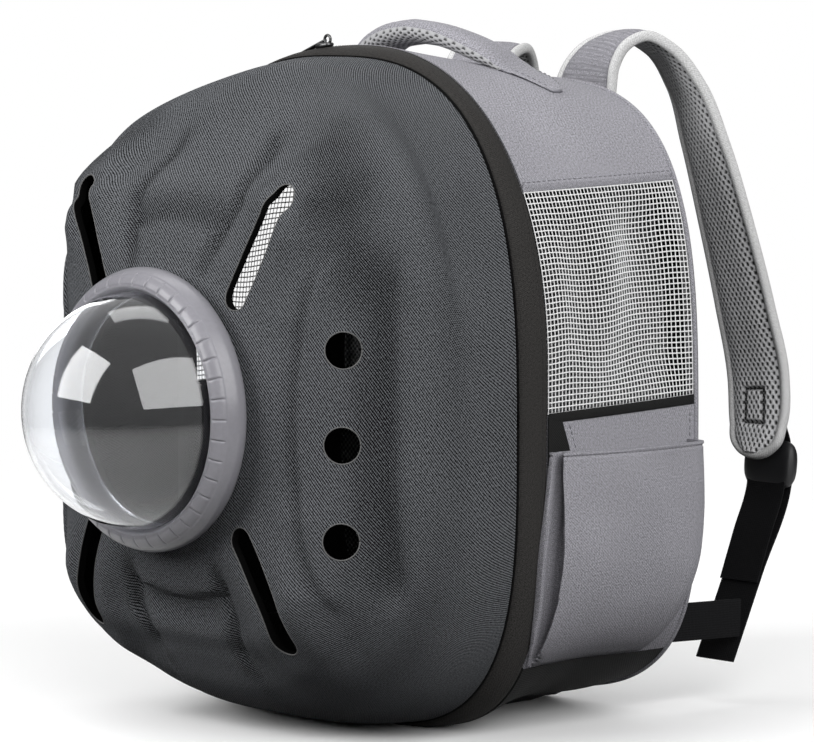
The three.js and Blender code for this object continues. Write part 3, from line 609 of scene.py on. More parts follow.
def speckled(name, roughness, dark, light, size, detail, depth, **sockets):
    """Moulded plastic or metal with a fine grain."""
    n = Nodes(name, roughness, **sockets)
    speckle = n.noise(size, detail)
    n.ramp(speckle, dark, light)
    n.bump(speckle, depth)
    return n.material


def plastic(name, colour, roughness, grain=0.06):
    dark, light = grey(0.9, colour), grey(1.08, colour)
    return speckled(name, roughness, dark, light, 2.5, 4, grain, Specular_IOR_Level=0.45)


def dome_material():
    n = Nodes("clear_dome", 0.015, IOR=1.55, Transmission_Weight=1.0, Base_Color=(0.955, 0.968, 0.99, 1))
    n.bump(n.noise(60, 1), 0.2, 0.3)
    return n.material


def air_mesh_material(name, yarn, hole):
    """Yarn of the air mesh, darker down in its holes, whose depth is stored on the mesh."""
    n = Nodes(name, 0.85, Specular_IOR_Level=0.2)
    depth = n.add("ShaderNodeAttribute", attribute_name="hole").outputs["Fac"]
    fuzz = n.noise(1.1, 3)
    n.ramp(n.mix((n.math("SUBTRACT", depth, 0.4), 1.3), (fuzz, 0.6)), grey(yarn, (1, 1, 1.02)), grey(hole))
    n.bump(fuzz, 0.2)
    return n.material


def flat_mesh_material(name, yarn, hole):
    """Air mesh on a flat pad: staggered holes as a pattern over its width and height."""
    n = Nodes(name, 0.85, Specular_IOR_Level=0.2)
    holes = n.math("MULTIPLY", n.wave((1, 0), MESH_PITCH), n.wave((0, 0, 1), MESH_PITCH))
    height = n.mix((holes, 0.7), (n.noise(1.1, 3), 0.5))
    n.ramp(height, grey(hole), grey(yarn, (1, 1, 1.02)))
    n.bump(height, 0.6)
    return n.material


LILAC = (1, 0.985, 1.075)
LOOKS = {
    # The shell's crease strength paints shade into its creases, along the valley and round the collar.
    "shell": cloth("shell_twill", 0.0, 0.165, 1.5, (0.96, 1, 1.07), lines=0.46, threads=0.25, fuzz=1.6,
                   clouds=0.08, depth=0.25, shine=0.06, crease=0.34),
    "band": cloth("band_tape", 0.004, 0.054, 1.1, (1.05, 1, 0.96), lines=0.14, threads=0.14, fuzz=1.5,
                  clouds=0.03, depth=0.15, roughness=0.8, shine=0.1),
    "grey": cloth("grey_cloth", 0.12, 0.43, 1.25, LILAC, lines=0.14, threads=0.16, fuzz=1.8, clouds=0.08,
                  depth=0.16),
    "black": cloth("black_cloth", 0.002, 0.022, 1.2, roughness=0.8, shine=0.12),
    "lining": cloth("black_lining", 0.001, 0.006, 1.5, roughness=0.9, shine=0.05),
    "net": thread("net_thread", 0.7, 0.9),
    "binding": cloth("edge_binding", 0.34, 0.72, 1.3, lines=0.12, threads=0.12, fuzz=1.4, depth=0.15),
    "thread": thread("grey_thread", 0.12, 0.26, LILAC),
    "dark_thread": thread("dark_thread", 0.004, 0.03),
    "rim": thread("cut_edge", 0.06, 0.16),
    "webbing": webbing_material(),
    "plastic": plastic("black_plastic", (0.005, 0.005, 0.006), 0.5),
    "ring": plastic("ring_plastic", (0.215, 0.211, 0.232), 0.3, 0.02),
    "dome": dome_material(),
    "strap_mesh": air_mesh_material("air_mesh_strap", 0.62, 0.04),
    "handle_mesh": air_mesh_material("air_mesh_handle", 0.42, 0.06),
    "back_mesh": flat_mesh_material("air_mesh_back", 0.25, 0.03),
    "metal": speckled("zip_metal", 0.35, grey(0.05), grey(0.16), 3, 3, 0.03, Metallic=1.0),
}


# Front shell
def nearest_on(rows, x, z):
    best = np.full(x.shape, np.inf)
    raised = np.zeros(x.shape)
    for a, b in zip(rows, rows[1:]):
        dx, dz = b[0] - a[0], b[1] - a[1]
        k = np.clip(((x - a[0]) * dx + (z - a[1]) * dz) / (dx * dx + dz * dz), 0, 1)
        distance = np.hypot(x - a[0] - k * dx, z - a[1] - k * dz)
        if len(a) > 2:
            raised = np.where(distance < best, a[2] + k * (b[2] - a[2]), raised)
        best = np.minimum(best, distance)
    return best, raised


def relief_at(x, z):
    side = np.abs(x)
    extra = np.zeros(np.shape(x))
    for pad in SLOT_PADS:
        distance, raised = nearest_on(spline([(*row, 0) for row in pad], 8), side, z)
        extra += raised * (1 - smooth((distance - PAD_FLAT) / PAD_SLOPE))
    for line in CHANNELS:
        distance, deep = nearest_on(line, side, z)
        extra -= deep * bell(distance / CHANNEL_HALF_WIDTH)
    inside = smooth((TONGUE_HALF_WIDTH - side) / TONGUE_EDGE)
    beyond = np.hypot(x, z - WINDOW_Z) - COLLAR_EDGE
    recess = RECESS_DEPTH * inside * smooth(beyond / COLLAR_STEP)
    extra -= recess * (1 - smooth((beyond - 2) / RECESS_REACH))
    extra += TONGUE_RAISE * inside * smooth((np.abs(z - WINDOW_Z) - TONGUE_END + WINDOW_Z) / TONGUE_FADE)
    for line in CHEEKS:
        distance, raised = nearest_on(line, side, z)
        extra += raised * bell(distance / CHEEK_HALF_WIDTH)
    up = np.minimum(1, np.abs(z - LENS_Z) / LENS_HALF_HEIGHT)
    half = LENS_HALF_WIDTH * (1 - up * up)
    within = smooth((half - np.abs(side - LENS_X)) / LENS_EDGE + 0.5)
    extra += LENS_RAISE * within * smooth((1 - up) * LENS_TIP)
    extra -= GROOVE_DEPTH * bell((side - GROOVE_X) / GROOVE_HALF_WIDTH) * smooth((1 - up) * GROOVE_TIP)
    return extra * smooth((np.hypot(x, z - WINDOW_Z) - COLLAR_RADIUS) / COLLAR_FADE)


def crease_shade_at(x, z):
    """How much painted shade darkens the cloth in its creases, along the valley and round the collar, from
    0 to 1.
    """
    side = np.abs(x)
    up = np.minimum(1, np.abs(z - LENS_Z) / LENS_HALF_HEIGHT)
    tip = smooth((1 - up) * GROOVE_TIP)
    rows = [(nearest_on(line, side, z)[0], 1, CHANNEL_SHADE) for line in CHANNELS]
    rows.append((side - GROOVE_X + 1, tip, GROOVE_SHADE))
    rows.append((side - LENS_X + LENS_HALF_WIDTH * (1 - up * up) + 3, tip, LENS_SHADE))
    rows.append((nearest_on(VALLEY, side, z)[0], 1, VALLEY_SHADE))
    lines = [bell(distance / width) * share * strength for distance, share, (width, strength) in rows]
    beyond = np.hypot(x, z - WINDOW_Z) - COLLAR_EDGE - 3
    collar = bell(beyond / np.where(beyond > 0, COLLAR_SHADE_OUT, COLLAR_SHADE_IN))
    lines.append(collar * smooth((TONGUE_HALF_WIDTH - side) / TONGUE_EDGE) * COLLAR_SHADE)
    return np.max(lines, axis=0)


def shell_point(depth, angle):
    x, z = oval_point(curve(SHELL_ROWS, depth)[..., 1:], angle)
    share = smooth((depth - RELIEF_START) / RELIEF_GROWTH)
    return xyz(x, RIM_Y - depth - share * relief_at(x, z), z)


def slot_outline(pad, side):
    """Outline round a slot's line, as places across and up."""
    line = spline([(side * x, z, 0) for x, z, _ in pad], 60)[:, :2]
    gone = travel(line)
    line = line[(gone > SLOT_INSET) & (gone < gone[-1] - SLOT_INSET)]
    steps = unit(np.diff(line, axis=0))
    ahead = unit(np.vstack([steps[:1], steps[:-1] + steps[1:], steps[-1:]]))
    left = np.stack([-ahead[:, 1], ahead[:, 0]], 1)
    turn = np.linspace(0, math.pi, 13)[1:-1, None]
    cap = line[-1] + SLOT_HALF_WIDTH * (np.cos(turn) * -left[-1] + np.sin(turn) * ahead[-1])
    foot = line[0] + SLOT_HALF_WIDTH * (np.cos(turn) * left[0] - np.sin(turn) * ahead[0])
    aside = left * SLOT_HALF_WIDTH
    return np.concatenate([line - aside, cap, (line + aside)[::-1], foot])


def slot_cutter(pad, side):
    """Prism along Y with the slot's outline."""
    x, z = slot_outline(pad, side).T
    return rings_solid(np.stack([xyz(x, RIM_Y - depth, z) for depth in SLOT_CUT]))


def hole_cutter(x, z, side):
    ahead = np.array([side, -1, 0]) / math.sqrt(2)
    path = np.array([side * x, RIM_Y - HOLE_DEPTH, z]) + ahead * np.array([[-HOLE_CUT], [HOLE_CUT]])
    return rings_solid(tube_rings(path, HOLE_RADIUS, HOLE_RADIUS, (0, 0, 1), 40))


def shell_weave(points, angle):
    """Cloth laid over the shell: flat on the front, then turned over its edge all round."""
    rim = np.stack(oval_point(SHELL_ROWS[0][1:], angle[:, 0]), 1)
    along = np.roll(rim, -1, 0) - np.roll(rim, 1, 0)
    out = unit(np.stack([along[:, 1], -along[:, 0]], 1))
    behind = points[..., 1] - points[..., 1].min()
    return SHELL_WEAVE * (points[..., [0, 2]] + out[:, None] * behind[..., None])


def make_rims(outer):
    """Thin edge of the cut foam round each hole and slot, laid on the shell."""
    surface = BVHTree.FromPolygons(outer.reshape(-1, 3).tolist(), quads(*outer.shape[:2], True).tolist())
    turn = np.linspace(0, 2 * math.pi, 49)[:, None]
    lines = []
    for _, side in SIDES:
        ahead = np.array([side, -1, 0]) / math.sqrt(2)
        across = np.array([1, side, 0]) / math.sqrt(2)
        for x, z in HOLES:
            middle = np.array([side * x, RIM_Y - HOLE_DEPTH, z]) + ahead * RAY_FROM_HOLE
            circle = HOLE_RADIUS * (np.cos(turn) * across + np.sin(turn) * np.array([0, 0, 1]))
            lines.append((middle + circle, -ahead))
        for pad in SLOT_PADS:
            outline = slot_outline(pad, side)
            x, z = np.vstack([outline, outline[:1]]).T
            lines.append((xyz(x, RIM_Y - RAY_FROM_SLOT, z), np.array([0, 1.0, 0])))
    tubes = []
    for line, way in lines:
        hits = [surface.ray_cast(Vector(p), Vector(way))[0] for p in line]
        rim = np.array(hits) + way * VENT_LIFT
        tubes.append(rings_solid(tube_rings(rim, VENT_EDGE, VENT_EDGE, way, 6)))
    add_parts("vent_edges", tubes, "rim", "shell")


def make_shell():
    angle = np.linspace(0, 2 * math.pi, SHELL_COLUMNS, endpoint=False)[:, None]
    depth = np.r_[np.linspace(RIM_DEPTH, 54, 12), np.linspace(56.5, 146.5, 80)][None]
    outer = shell_point(depth + 0 * angle, angle + 0 * depth)
    inner = outer - SHELL_WALL * grid_normals(outer)
    points, faces = wall(outer, inner, True)
    inside = np.arange(len(faces)) >= SHELL_COLUMNS * (depth.size - 1)
    weave = np.tile(shell_weave(outer, angle).reshape(-1, 2), (2, 1))
    shell = add_mesh("front_shell_twill", points, faces, ["shell", "lining"], inside, "shell",
                     ["front_shell"], weave=weave)
    make_rims(outer)
    parts = [slot_cutter(pad, side) for pad in SLOT_PADS for _, side in SIDES]
    parts += [hole_cutter(x, z, side) for x, z in HOLES for _, side in SIDES]
    cutter = place("vents", plain_mesh("vents", *joined(parts), "lining"))
    cut = shell.modifiers.new("vents", "BOOLEAN")
    cut.operation = "DIFFERENCE"
    cut.solver = "EXACT"
    cut.material_mode = "TRANSFER"
    cut.object = cutter
    baked = bpy.data.meshes.new_from_object(shell.evaluated_get(bpy.context.evaluated_depsgraph_get()))
    shell.modifiers.clear()
    shell.data = baked
    baked.set_sharp_from_angle(angle=math.radians(SHELL_SHARP))
    places = np.empty(len(baked.vertices) * 3)
    baked.vertices.foreach_get("co", places)
    x, y, z = places.reshape(-1, 3).T / MM
    # Painted shade: how much the colour is darkened in the creases, valley and collar, kept on the points.
    store(shell, "crease", crease_shade_at(x, z) * smooth((RIM_Y - RELIEF_START - y) / RELIEF_GROWTH))
    bpy.data.objects.remove(cutter)


# Window
def lathe(profile, turn):
    """Points turned about the window's axis, from rows of radius and depth."""
    turn = np.asarray(turn)[:, None]
    radius, depth = np.asarray(profile, float).T
    return xyz(radius * np.cos(turn), RIM_Y - depth, WINDOW_Z + radius * np.sin(turn))


def make_ring():
    """Ring with fine notches across the crest, between two fine grooves."""
    profile = spline([(r, d, 0) for r, d in [*RING_PROFILE, RING_PROFILE[0]]], 96)[:-1, :2]
    radius, depth = profile.T
    share = np.r_[-0.5, -0.3, -0.14, -0.07, -0.045, -0.02, 0, 0.02, 0.045, 0.07, 0.14, 0.3]
    turn = ((np.arange(RING_GROOVES)[:, None] + share) / RING_GROOVES * 2 * math.pi).ravel()
    p = lathe(profile, turn)
    front = smooth((depth - RING_FRONT) / 2)
    crest = front * smooth((radius - NOTCH_RADII[0]) * 2) * smooth((NOTCH_RADII[1] - radius) * 2)
    lines = sum(bell((radius - r) / 0.4) for r in NOTCH_RADII) * front
    notch = np.maximum(0, 1 - np.abs(share) / 0.06) - 0.5 * np.maximum(0, 1 - np.abs(share - 0.1) / 0.05)
    p[..., 1] += NOTCH_DEPTH * np.tile(notch, RING_GROOVES)[:, None] * crest + LINE_DEPTH * lines
    faces = outward(p, quads(*p.shape[:2], True, True))
    add_mesh("window_ring", p, faces, "ring", slot="ring", replaces=["bubble_ring"])


def make_dome():
    turn = np.linspace(0.004, math.pi / 2, 48)
    skins = []
    for radius in (DOME_RADIUS, DOME_RADIUS - DOME_WALL):
        arc = np.stack([radius * np.sin(turn), DOME_CENTRE + radius * np.cos(turn)], 1)
        skins.append(np.vstack([arc, [(radius, DOME_SKIRT)]]))
    profile = np.vstack([skins[0], skins[1][::-1]])
    rings = np.moveaxis(lathe(profile, np.linspace(0, 2 * math.pi, 128, endpoint=False)), 1, 0)
    add_rings("window_dome", rings, "dome", "dome", ["bubble_dome"], 50, False)


# Cloth body
def body_strip(name, angles, steps, look, slot, node, ripple=0.0):
    """Wall of cloth between two angles of the outline, from the band to the back."""
    y = np.linspace(BAND_BACK_Y + GAP, BODY_BACK_Y, 44)[None]
    low, high = angles(y)
    u = np.linspace(0, 1, steps)[:, None]
    angle = low + (high - low) * u
    outer = body_point(y + 0 * u, angle)
    inner = body_point(y + 0 * u, angle, -CLOTH)
    if ripple:
        swell = np.sin(outer[..., 0] * 0.031 + outer[..., 2] * 0.027 + 1.0) * np.sin(y * 0.055 + u * 5)
        edge = smooth(u * 8) * smooth((1 - u) * 8)
        edge = edge * smooth((y - BAND_BACK_Y) / 25) * smooth((BODY_BACK_Y - y) / 25)
        outer = outer + unit(outer - inner) * (ripple * swell * edge)[..., None]
    add_wall(name, outer, inner, look, slot, [node], lined=True)


def side_angles(side, low, high):
    def angles(y):
        oval = body_oval(y)
        pair = [angle_at(oval, low(y)), angle_at(oval, high(y))]
        return pair if side > 0 else [math.pi - angle for angle in pair]
    return angles


def make_top():
    def angles(y):
        hem = angle_at(body_oval(y), seam_at(NET_TOP_Z, y) + GAP)
        return hem, math.pi - hem
    body_strip("top_cloth", angles, 150, "grey", "grey_cloth", "top_panel", 0.7)


def make_base():
    def angles(y):
        hem = angle_at(body_oval(y), BASE_TOP_Z)
        return -math.pi - hem, hem
    body_strip("base_cloth", angles, 150, "black", "black_cloth", "base_panel")


def make_band():
    y = np.array([-74.7, -74.2, -72.5, -70, -67, -64, -61, -58, -55.5, -54, -53.4, -53])
    _, share, puff = curve(BAND_ROWS, y).T
    tuck = np.interp(y, [-74.7, -74.2, -72.5, -55.5, -54, -53], [2.2, 0.9, 0, 0, 0.5, 1.6])
    oval = np.array(BAND_FRONT) + (np.array(BODY_ROWS[0][1:]) - BAND_FRONT) * share[:, None]
    angle = np.linspace(-math.pi / 2, math.pi * 1.5, 360, endpoint=False)[:, None]

    def skin(by):
        x, z = oval_point(oval[None], angle, by - puff[None])
        return xyz(x, y, np.maximum(z, np.maximum(by, 0)))
    outer = skin(tuck[None])
    add_wall("zip_band", outer, skin(BAND_WALL), "band", "band", ["front_band"], 60, True, True)
    lines = []
    for row in (outer[:, -3], outer[:, -5]):
        out = unit(np.cross(np.gradient(row, axis=0), (0, 1, 0)))
        lines.append((row[10:-10], out[10:-10]))
    add_stitches("band_stitches", lines, "dark_thread", "band", 2.0, 1.2, 0.3)
    rim = outer[:, 0] * (1, 0, 1) + (0, RIM_Y - RIM_DEPTH + 0.2, 0)
    add_piping("rim_piping", rim, 1.3, "dark_thread", "band", False)


def make_rim_gap_shade():
    """Black cord in the fold where the shell meets the band: painted shade of the gap there."""
    angle = np.linspace(0, 2 * math.pi, 241)
    line = shell_point(RIM_DEPTH + 0.6 + 0 * angle, angle)
    add_rings("rim_gap_shade", tube_rings(line, 0.9, 0.9, (0, 1, 0), 8), "lining", "black_cloth")


def net_point(side, u, v):
    """Slack net: it hangs a little inwards towards the back and its rows droop."""
    y = BAND_BACK_Y + GAP + (BODY_BACK_Y - BAND_BACK_Y - GAP) * u
    low, high = seam_at(NET_BOTTOM_Z, y), seam_at(NET_TOP_Z, y)
    z = low + (high - low) * v
    hang = smooth(u * 5) * smooth((1 - u) * 6) * smooth(v * 4) * smooth((1 - v) * 4)
    dip = 7.5 * bell((u - 0.72 + 0.12 * (v - 0.5)) / 0.2)
    ripple = 1.2 * np.sin(9 * u + 4 * v) - 0.8 * np.sin(17 * u - 5 * v)
    away = -0.8 - hang * (dip - ripple)
    rise = hang * (1.4 * np.sin(6 * u + 2) + 1.0 * np.sin(11 * u + 3 * v))
    return side_point(side, z + rise, y, away)


def make_net(hand, side):
    t = np.linspace(0, 1, 64)
    across = (side, 0, 0)
    parts = []
    for v in np.linspace(0.004, 0.996, NET_ROWS):
        path = net_point(side, t, v + 0 * t)
        path[:, 0] += side * 0.2 * np.sin(t * NET_COLUMNS * math.pi)
        parts.append(rings_solid(tube_rings(path, NET_STRAND, NET_STRAND, across, 4)))
    for u in np.linspace(0.004, 0.996, NET_COLUMNS):
        path = net_point(side, u + 0 * t, t)
        parts.append(rings_solid(tube_rings(path, NET_STRAND, NET_STRAND * 0.9, across, 4)))
    add_parts(f"net_{hand}", parts, "net", "net", [f"side_mesh_{hand}"])


def seam_roll(name, line, wide, thick, normal, look, slot):
    """Rounded strip of folded cloth along a seam."""
    taper = np.sin(np.linspace(0, math.pi, len(line))) ** 0.08
    across = np.cross(np.gradient(line, axis=0), normal)
    add_rings(name, tube_rings(line, wide, thick * taper, across, 12, 2.6), look, slot)


def make_side(hand, side):
    """Cloth, trim, seams and stitches of one side, with a black strip beside the pocket."""
    def trim(y):
        return seam_at(TRIM_Z, y) + 4 * smooth((-6 - y) / 42)
    panel = side_angles(side, lambda y: BASE_TOP_Z + GAP, trim)
    body_strip(f"side_cloth_{hand}", panel, 70, "grey", "grey_cloth", f"side_panel_{hand}", 0.4)
    below_net = side_angles(side, lambda y: trim(y) + GAP, lambda y: seam_at(NET_BOTTOM_Z, y))
    body_strip(f"net_trim_{hand}", below_net, 6, "black", "black_cloth", f"mesh_trim_{hand}")
    out = np.array([side, 0, 0.0])
    y = np.linspace(BAND_BACK_Y + 0.6, BODY_BACK_Y - 0.4, 50)
    hem = side_point(side, seam_at(NET_TOP_Z, y) + 2.4, y, 0.2)
    seam_roll(f"net_hem_{hand}", hem, 2.6, 0.9, out, "grey", "grey_cloth")
    lip = side_point(side, seam_at(NET_BOTTOM_Z, y) - 2.0, y, 0.2)
    seam_roll(f"trim_roll_{hand}", lip, 3.0, 1.0, out, "black", "black_cloth")
    strip_z = np.linspace(50, 195, 40)[:, None]
    strip_start = BAND_BACK_Y - 0.4
    strip_end = np.interp(strip_z, SLANT_HEIGHTS, STRIP_END)
    strip_y = strip_start + (strip_end - strip_start) * np.linspace(0, 1, 8)[None]
    tape_z = np.linspace(NET_BOTTOM_Z - 4, NET_TOP_Z + 4, 30)[:, None]
    tape_y = np.linspace(54, BODY_BACK_Y - 0.5, 8)[None]
    strip = [side_point(side, strip_z, strip_y, away) for away in (0.9, 0.1)]
    add_wall(f"side_strip_{hand}", *strip, "black", "black_cloth")
    tape_walls = [side_point(side, tape_z, tape_y, away) for away in (-6, -7)]
    add_wall(f"seam_tape_{hand}", *tape_walls, "lining", "black_cloth")
    lines = [(side_point(side, seam_at(NET_TOP_Z, y) + 5.6, y, 0.15), out)]
    z = np.linspace(150, 191, 30)
    for ends in (STRIP_STITCHES, REAR_STITCHES):
        lines.append((side_point(side, z, np.interp(z, SLANT_HEIGHTS, ends), 0.1), out))
    add_stitches(f"side_stitches_{hand}", lines, "thread", "grey_cloth")


def pocket_line(z, by):
    """Pocket's wall at a height: out along a folded front gusset, round the face and back in."""
    _, out, rear, edge, setback, seam = curve(POCKET_ROWS, z)
    face, edge = out - by, edge - by
    deep = smooth((out - 4) / 8)
    front = seam + by
    back = rear - by
    gusset = [
        (POCKET_SEAT, front), (0.24 * edge + 0.4, front + 0.1), (0.36 * edge + 0.2, front + 0.6),
        (0.32 * edge + 0.2, front + 1.6 * deep + 0.4), (0.1 * edge + 0.9, front + 4.6 * deep + 0.6),
        (1.4, front + 10 * deep + 0.8), (1.5, front + 17 * deep + 0.9),
        (0.35 * edge, front + 20 * deep + 1.0), (0.72 * edge, front + (setback + 5) * deep + 1.0),
        (0.95 * edge, front + setback * deep + 1.4), (edge + 0.1, front + setback * deep + 0.6),
    ]
    k = np.linspace(0.1, 0.93, 10)
    swell = POCKET_SWELL * min(1, out / POCKET_SWELL_DEPTH) * 4 * k * (1 - k)
    start = front + setback * deep
    middle = list(zip(edge + (face - edge) * (1 - (1 - k) ** 2.4) + swell, start + (back - start) * k))
    turn = min(5, (face - POCKET_SEAT) * 0.6)
    end = [(face - 0.3 * turn, back - 0.3 * turn), (face - turn, back), (POCKET_SEAT, back)]
    return spline([(a, b, 0) for a, b in gusset + middle + end], 130)[:, :2]


def make_pocket(hand, side):
    heights = np.r_[np.linspace(44, 166, 52), 168, 169.5, 170.4, 171.1, 171.8, 172.5, 173.3, 174]
    hem = np.interp(heights, [170.4, 171.1, 171.8, 172.5, 174], [0, -0.4, -0.4, 0.4, 0.3])

    def skin(by):
        rows = []
        for z, extra in zip(heights, hem):
            line = pocket_line(z, by - extra * (by == 0))
            rows.append(side_point(side, z + 0 * line[:, 1], line[:, 1], line[:, 0]))
        return np.array(rows)
    outer, inner = skin(0), skin(POCKET_WALL)
    v = np.linspace(0, 1, len(heights))[:, None]
    u = np.linspace(0, 1, outer.shape[1])[None]
    crease = 0.7 * np.sin(7 * v + 3 * u) * np.sin(4 * u * math.pi + 2 * v)
    crease = crease * smooth((u - 0.35) * 6) * smooth((0.95 - u) * 8)
    outer[..., 0] += side * crease * smooth((1 - v) * 6) * smooth(v * 6)
    add_wall(f"pocket_{hand}", outer, inner, "grey", "grey_cloth", [f"side_pocket_{hand}"], 55)
    row = int(np.argmin(np.abs(heights - POCKET_HEM_Z)))
    reach = pocket_line(heights[row], 0)[:, 0]
    fold = np.flatnonzero(reach[:90] < 7.4)[-1]
    hem_line = (outer[row, fold + 2:124], (side, 0, 0))
    add_stitches(f"pocket_stitches_{hand}", [hem_line], "thread", "grey_cloth", *POCKET_STITCH)


def make_back():
    angle = np.linspace(0, 2 * math.pi, 240, endpoint=False)[:, None]
    scale = np.r_[np.linspace(1, 0.93, 12), np.linspace(0.92, 0.02, 36)][None]
    bulge_rows = [(0, 1), (0.2, 1), (0.5, 1), (0.8, 1), (0.93, 0.93), (0.985, 0.72), (1, 0.3)]
    edge = body_point(BODY_BACK_Y + 0 * angle, angle, -0.5)
    middle = np.array([0, BODY_BACK_Y, 190])
    p = middle + (edge - middle) * scale[..., None]
    front = BODY_BACK_Y + GAP
    p[..., 1] = front + BACK_PAD * curve(bulge_rows, scale)[..., 1]
    rings = np.moveaxis(p, 1, 0)
    base = rings[:1].copy()
    base[..., 1] = front
    pad = add_rings("back_pad", np.concatenate([base, rings]), "back_mesh", "air_mesh", ["back_panel"],
                    woven=False)
    line = body_point(BODY_BACK_Y + 0 * angle[:, 0], angle[:, 0], 0.0)
    line[:, 1] = BODY_BACK_Y + 1.2
    add_piping("back_piping", line, 1.5, "grey", "grey_cloth")


# Handle and straps
def mesh_holes(u, v):
    """Depth of the air mesh's holes, from 0 to 1, at places in millimetres: staggered rows of ovals."""
    f = np.cos(2 * math.pi * u / MESH_PITCH) * np.cos(2 * math.pi * v / MESH_LENGTH)
    return smooth((f - 0.05) / 0.6)


def make_handle():
    x = np.linspace(-HANDLE_END, HANDLE_END, 330)
    _, lift, thick, wide, lean = curve(HANDLE_ROWS, np.abs(x)).T
    y = HANDLE_Y - lean
    tilt = (top_height(x + 1, y) - top_height(x - 1, y)) / 2
    slope = (top_height(x, y + 10) - top_height(x, y - 10)) / 20
    path = xyz(x, y, top_height(x, y) + lift * np.sqrt(1 + tilt ** 2 + slope ** 2))
    size = 72
    rings = tube_rings(path, wide, thick, xyz(0, 1, slope), size, 2.5)
    lower = np.sin(np.arange(size) / size * 2 * math.pi) < 0.05
    around = travel(rings[len(x) // 2])[None]
    holes = mesh_holes(around, travel(path)[:, None]) * lower * smooth((thick - 2.5) / 2)[:, None]
    rings = rings - unit(rings - path[:, None]) * (0.7 * holes)[..., None]
    points, faces = rings_solid(rings)
    meshed = np.outer(np.abs(x) <= HANDLE_MESH_END, lower).ravel()
    which = [max(f) < holes.size and meshed[f[0]] and lower[f[1] % size] for f in faces]
    handle = add_mesh("grab_handle", points, faces, ["grey", "handle_mesh"], which, "grey_cloth",
                      ["handle"], weave=ring_weave(rings))
    store(handle, "hole", np.r_[holes.ravel(), 0, 0])
    lines = []
    for end in (-1, 1):
        at = np.linspace(70, 95, 14) * end
        _, up, high, half, lean = curve(HANDLE_ROWS, np.abs(at)).T
        for share in (-0.8, 0.8):
            y = HANDLE_Y - lean + share * half
            lines.append((xyz(at, y, top_height(at, y) + up + high + 0.05), (0, 0, 1)))
    add_stitches("handle_stitches", lines, "thread", "grey_cloth")


def strap_frames(side, count):
    rows = []
    for x, y, z, wide, turn in STRAP_ROWS:
        drop = max(0, z - SLUMP_ABOVE) * (1 - SLUMP_KEEP) if side < 0 else 0
        rows.append((side * x, y, z - drop, wide, turn))
    line = spline(rows, count)
    path, wide, turn = line[:, :3], line[:, 3], np.radians(line[:, 4])
    tangent = unit(np.gradient(path, axis=0))
    across = upright(xyz(np.cos(turn), side * np.sin(turn), 0), tangent)
    return path, across, np.cross(tangent, across), wide


def make_strap(hand, side):
    path, across, inward, wide = strap_frames(side, 560)
    half = np.maximum(wide - 4.2, 3)
    fine = np.linspace(-1, 1, MESH_COLUMNS)
    coarse = np.linspace(1, -1, CLOTH_COLUMNS)
    u = np.r_[fine, coarse]
    meshed = np.arange(len(u)) < MESH_COLUMNS
    lift = np.r_[1.8 + 3.8 * (1 - np.abs(fine) ** 3.5), -(2.2 + 2.2 * (1 - np.abs(coarse) ** 3.0))]
    aside = half[:, None] * u[None]
    holes = mesh_holes(aside, travel(path)[:, None]) * meshed
    holes = holes * smooth((1 - np.abs(u)) * 12)[None]
    above = np.abs(path[:, 2] - PATCH_Z)[:, None] - PATCH_HALF_HEIGHT
    box = np.maximum(np.abs(aside) - PATCH_HALF_WIDTH, above)
    sunk = bell(box / 1.5) * meshed * (np.arange(len(path)) > PATCH_FROM)[:, None]
    holes = np.maximum(holes, 0.55 * sunk)
    depth = lift[None] - 1.1 * holes - 1.6 * sunk
    rings = path[:, None] + across[:, None] * aside[..., None] + inward[:, None] * depth[..., None]
    points, faces = rings_solid(rings)
    outside = [max(v % len(u) for v in f) >= MESH_COLUMNS for f in faces]
    strap = add_mesh(f"strap_{hand}", points, faces, ["strap_mesh", "grey"], outside, "air_mesh",
                     [f"strap_pad_{hand}"], weave=ring_weave(rings))
    store(strap, "hole", np.r_[holes.ravel(), 0, 0])
    rim = across * (wide - BINDING_INSET)[:, None]
    edge = np.vstack([path + rim, (path - rim)[::-1]])
    edge = spline(np.hstack([edge, np.vstack([inward, inward[::-1]])])[::6], 420)
    edge, face_way = edge[:, :3], edge[:, 3:]
    lean = np.cross(np.gradient(edge, axis=0), face_way)
    rings = tube_rings(edge, BINDING_HALF_WIDTH, BINDING_HALF_THICK, lean, 16, 2.3)
    add_rings(f"strap_binding_{hand}", rings, "binding", "grey_cloth")
    make_patch(hand, path, across, inward)


def make_patch(hand, path, across, inward):
    """Box of stitches that sews the webbing loop on through the strap's end."""
    depths = -path[PATCH_FROM:, 2]
    upper = np.searchsorted(depths, -PATCH_HALF_HEIGHT - PATCH_Z) + PATCH_FROM
    lower = np.searchsorted(depths, PATCH_HALF_HEIGHT - PATCH_Z) + PATCH_FROM
    corners = [(upper, -1), (upper, 1), (lower, 1), (lower, -1), (upper, -1)]
    spots = [path[i] + across[i] * (way * PATCH_HALF_WIDTH) + inward[i] * 3.7 for i, way in corners]
    k = np.linspace(0, 1, 20)[:, None]
    line = np.concatenate([a * (1 - k) + b * k for a, b in zip(spots, spots[1:])])
    add_stitches(f"strap_patch_{hand}", [(line, inward[lower])], "dark_thread", "webbing", 2.2, 0.8, 0.45)


def tape(name, line, across, node, half_width=WEBBING_HALF_WIDTH, half_thick=WEBBING_HALF_THICK, count=160):
    rings = tube_rings(spline(line, count), half_width, half_thick, across, 28, 7)
    add_rings(name, rings, "webbing", "webbing", [node], 60)


def wrap_line(bar, far, out, before, after):
    turn = np.linspace(0, math.pi, 9)[:, None]
    arc = bar + far * WRAP_RADIUS * np.sin(turn) - out * WRAP_RADIUS * np.cos(turn)
    return np.vstack([before, arc, after])


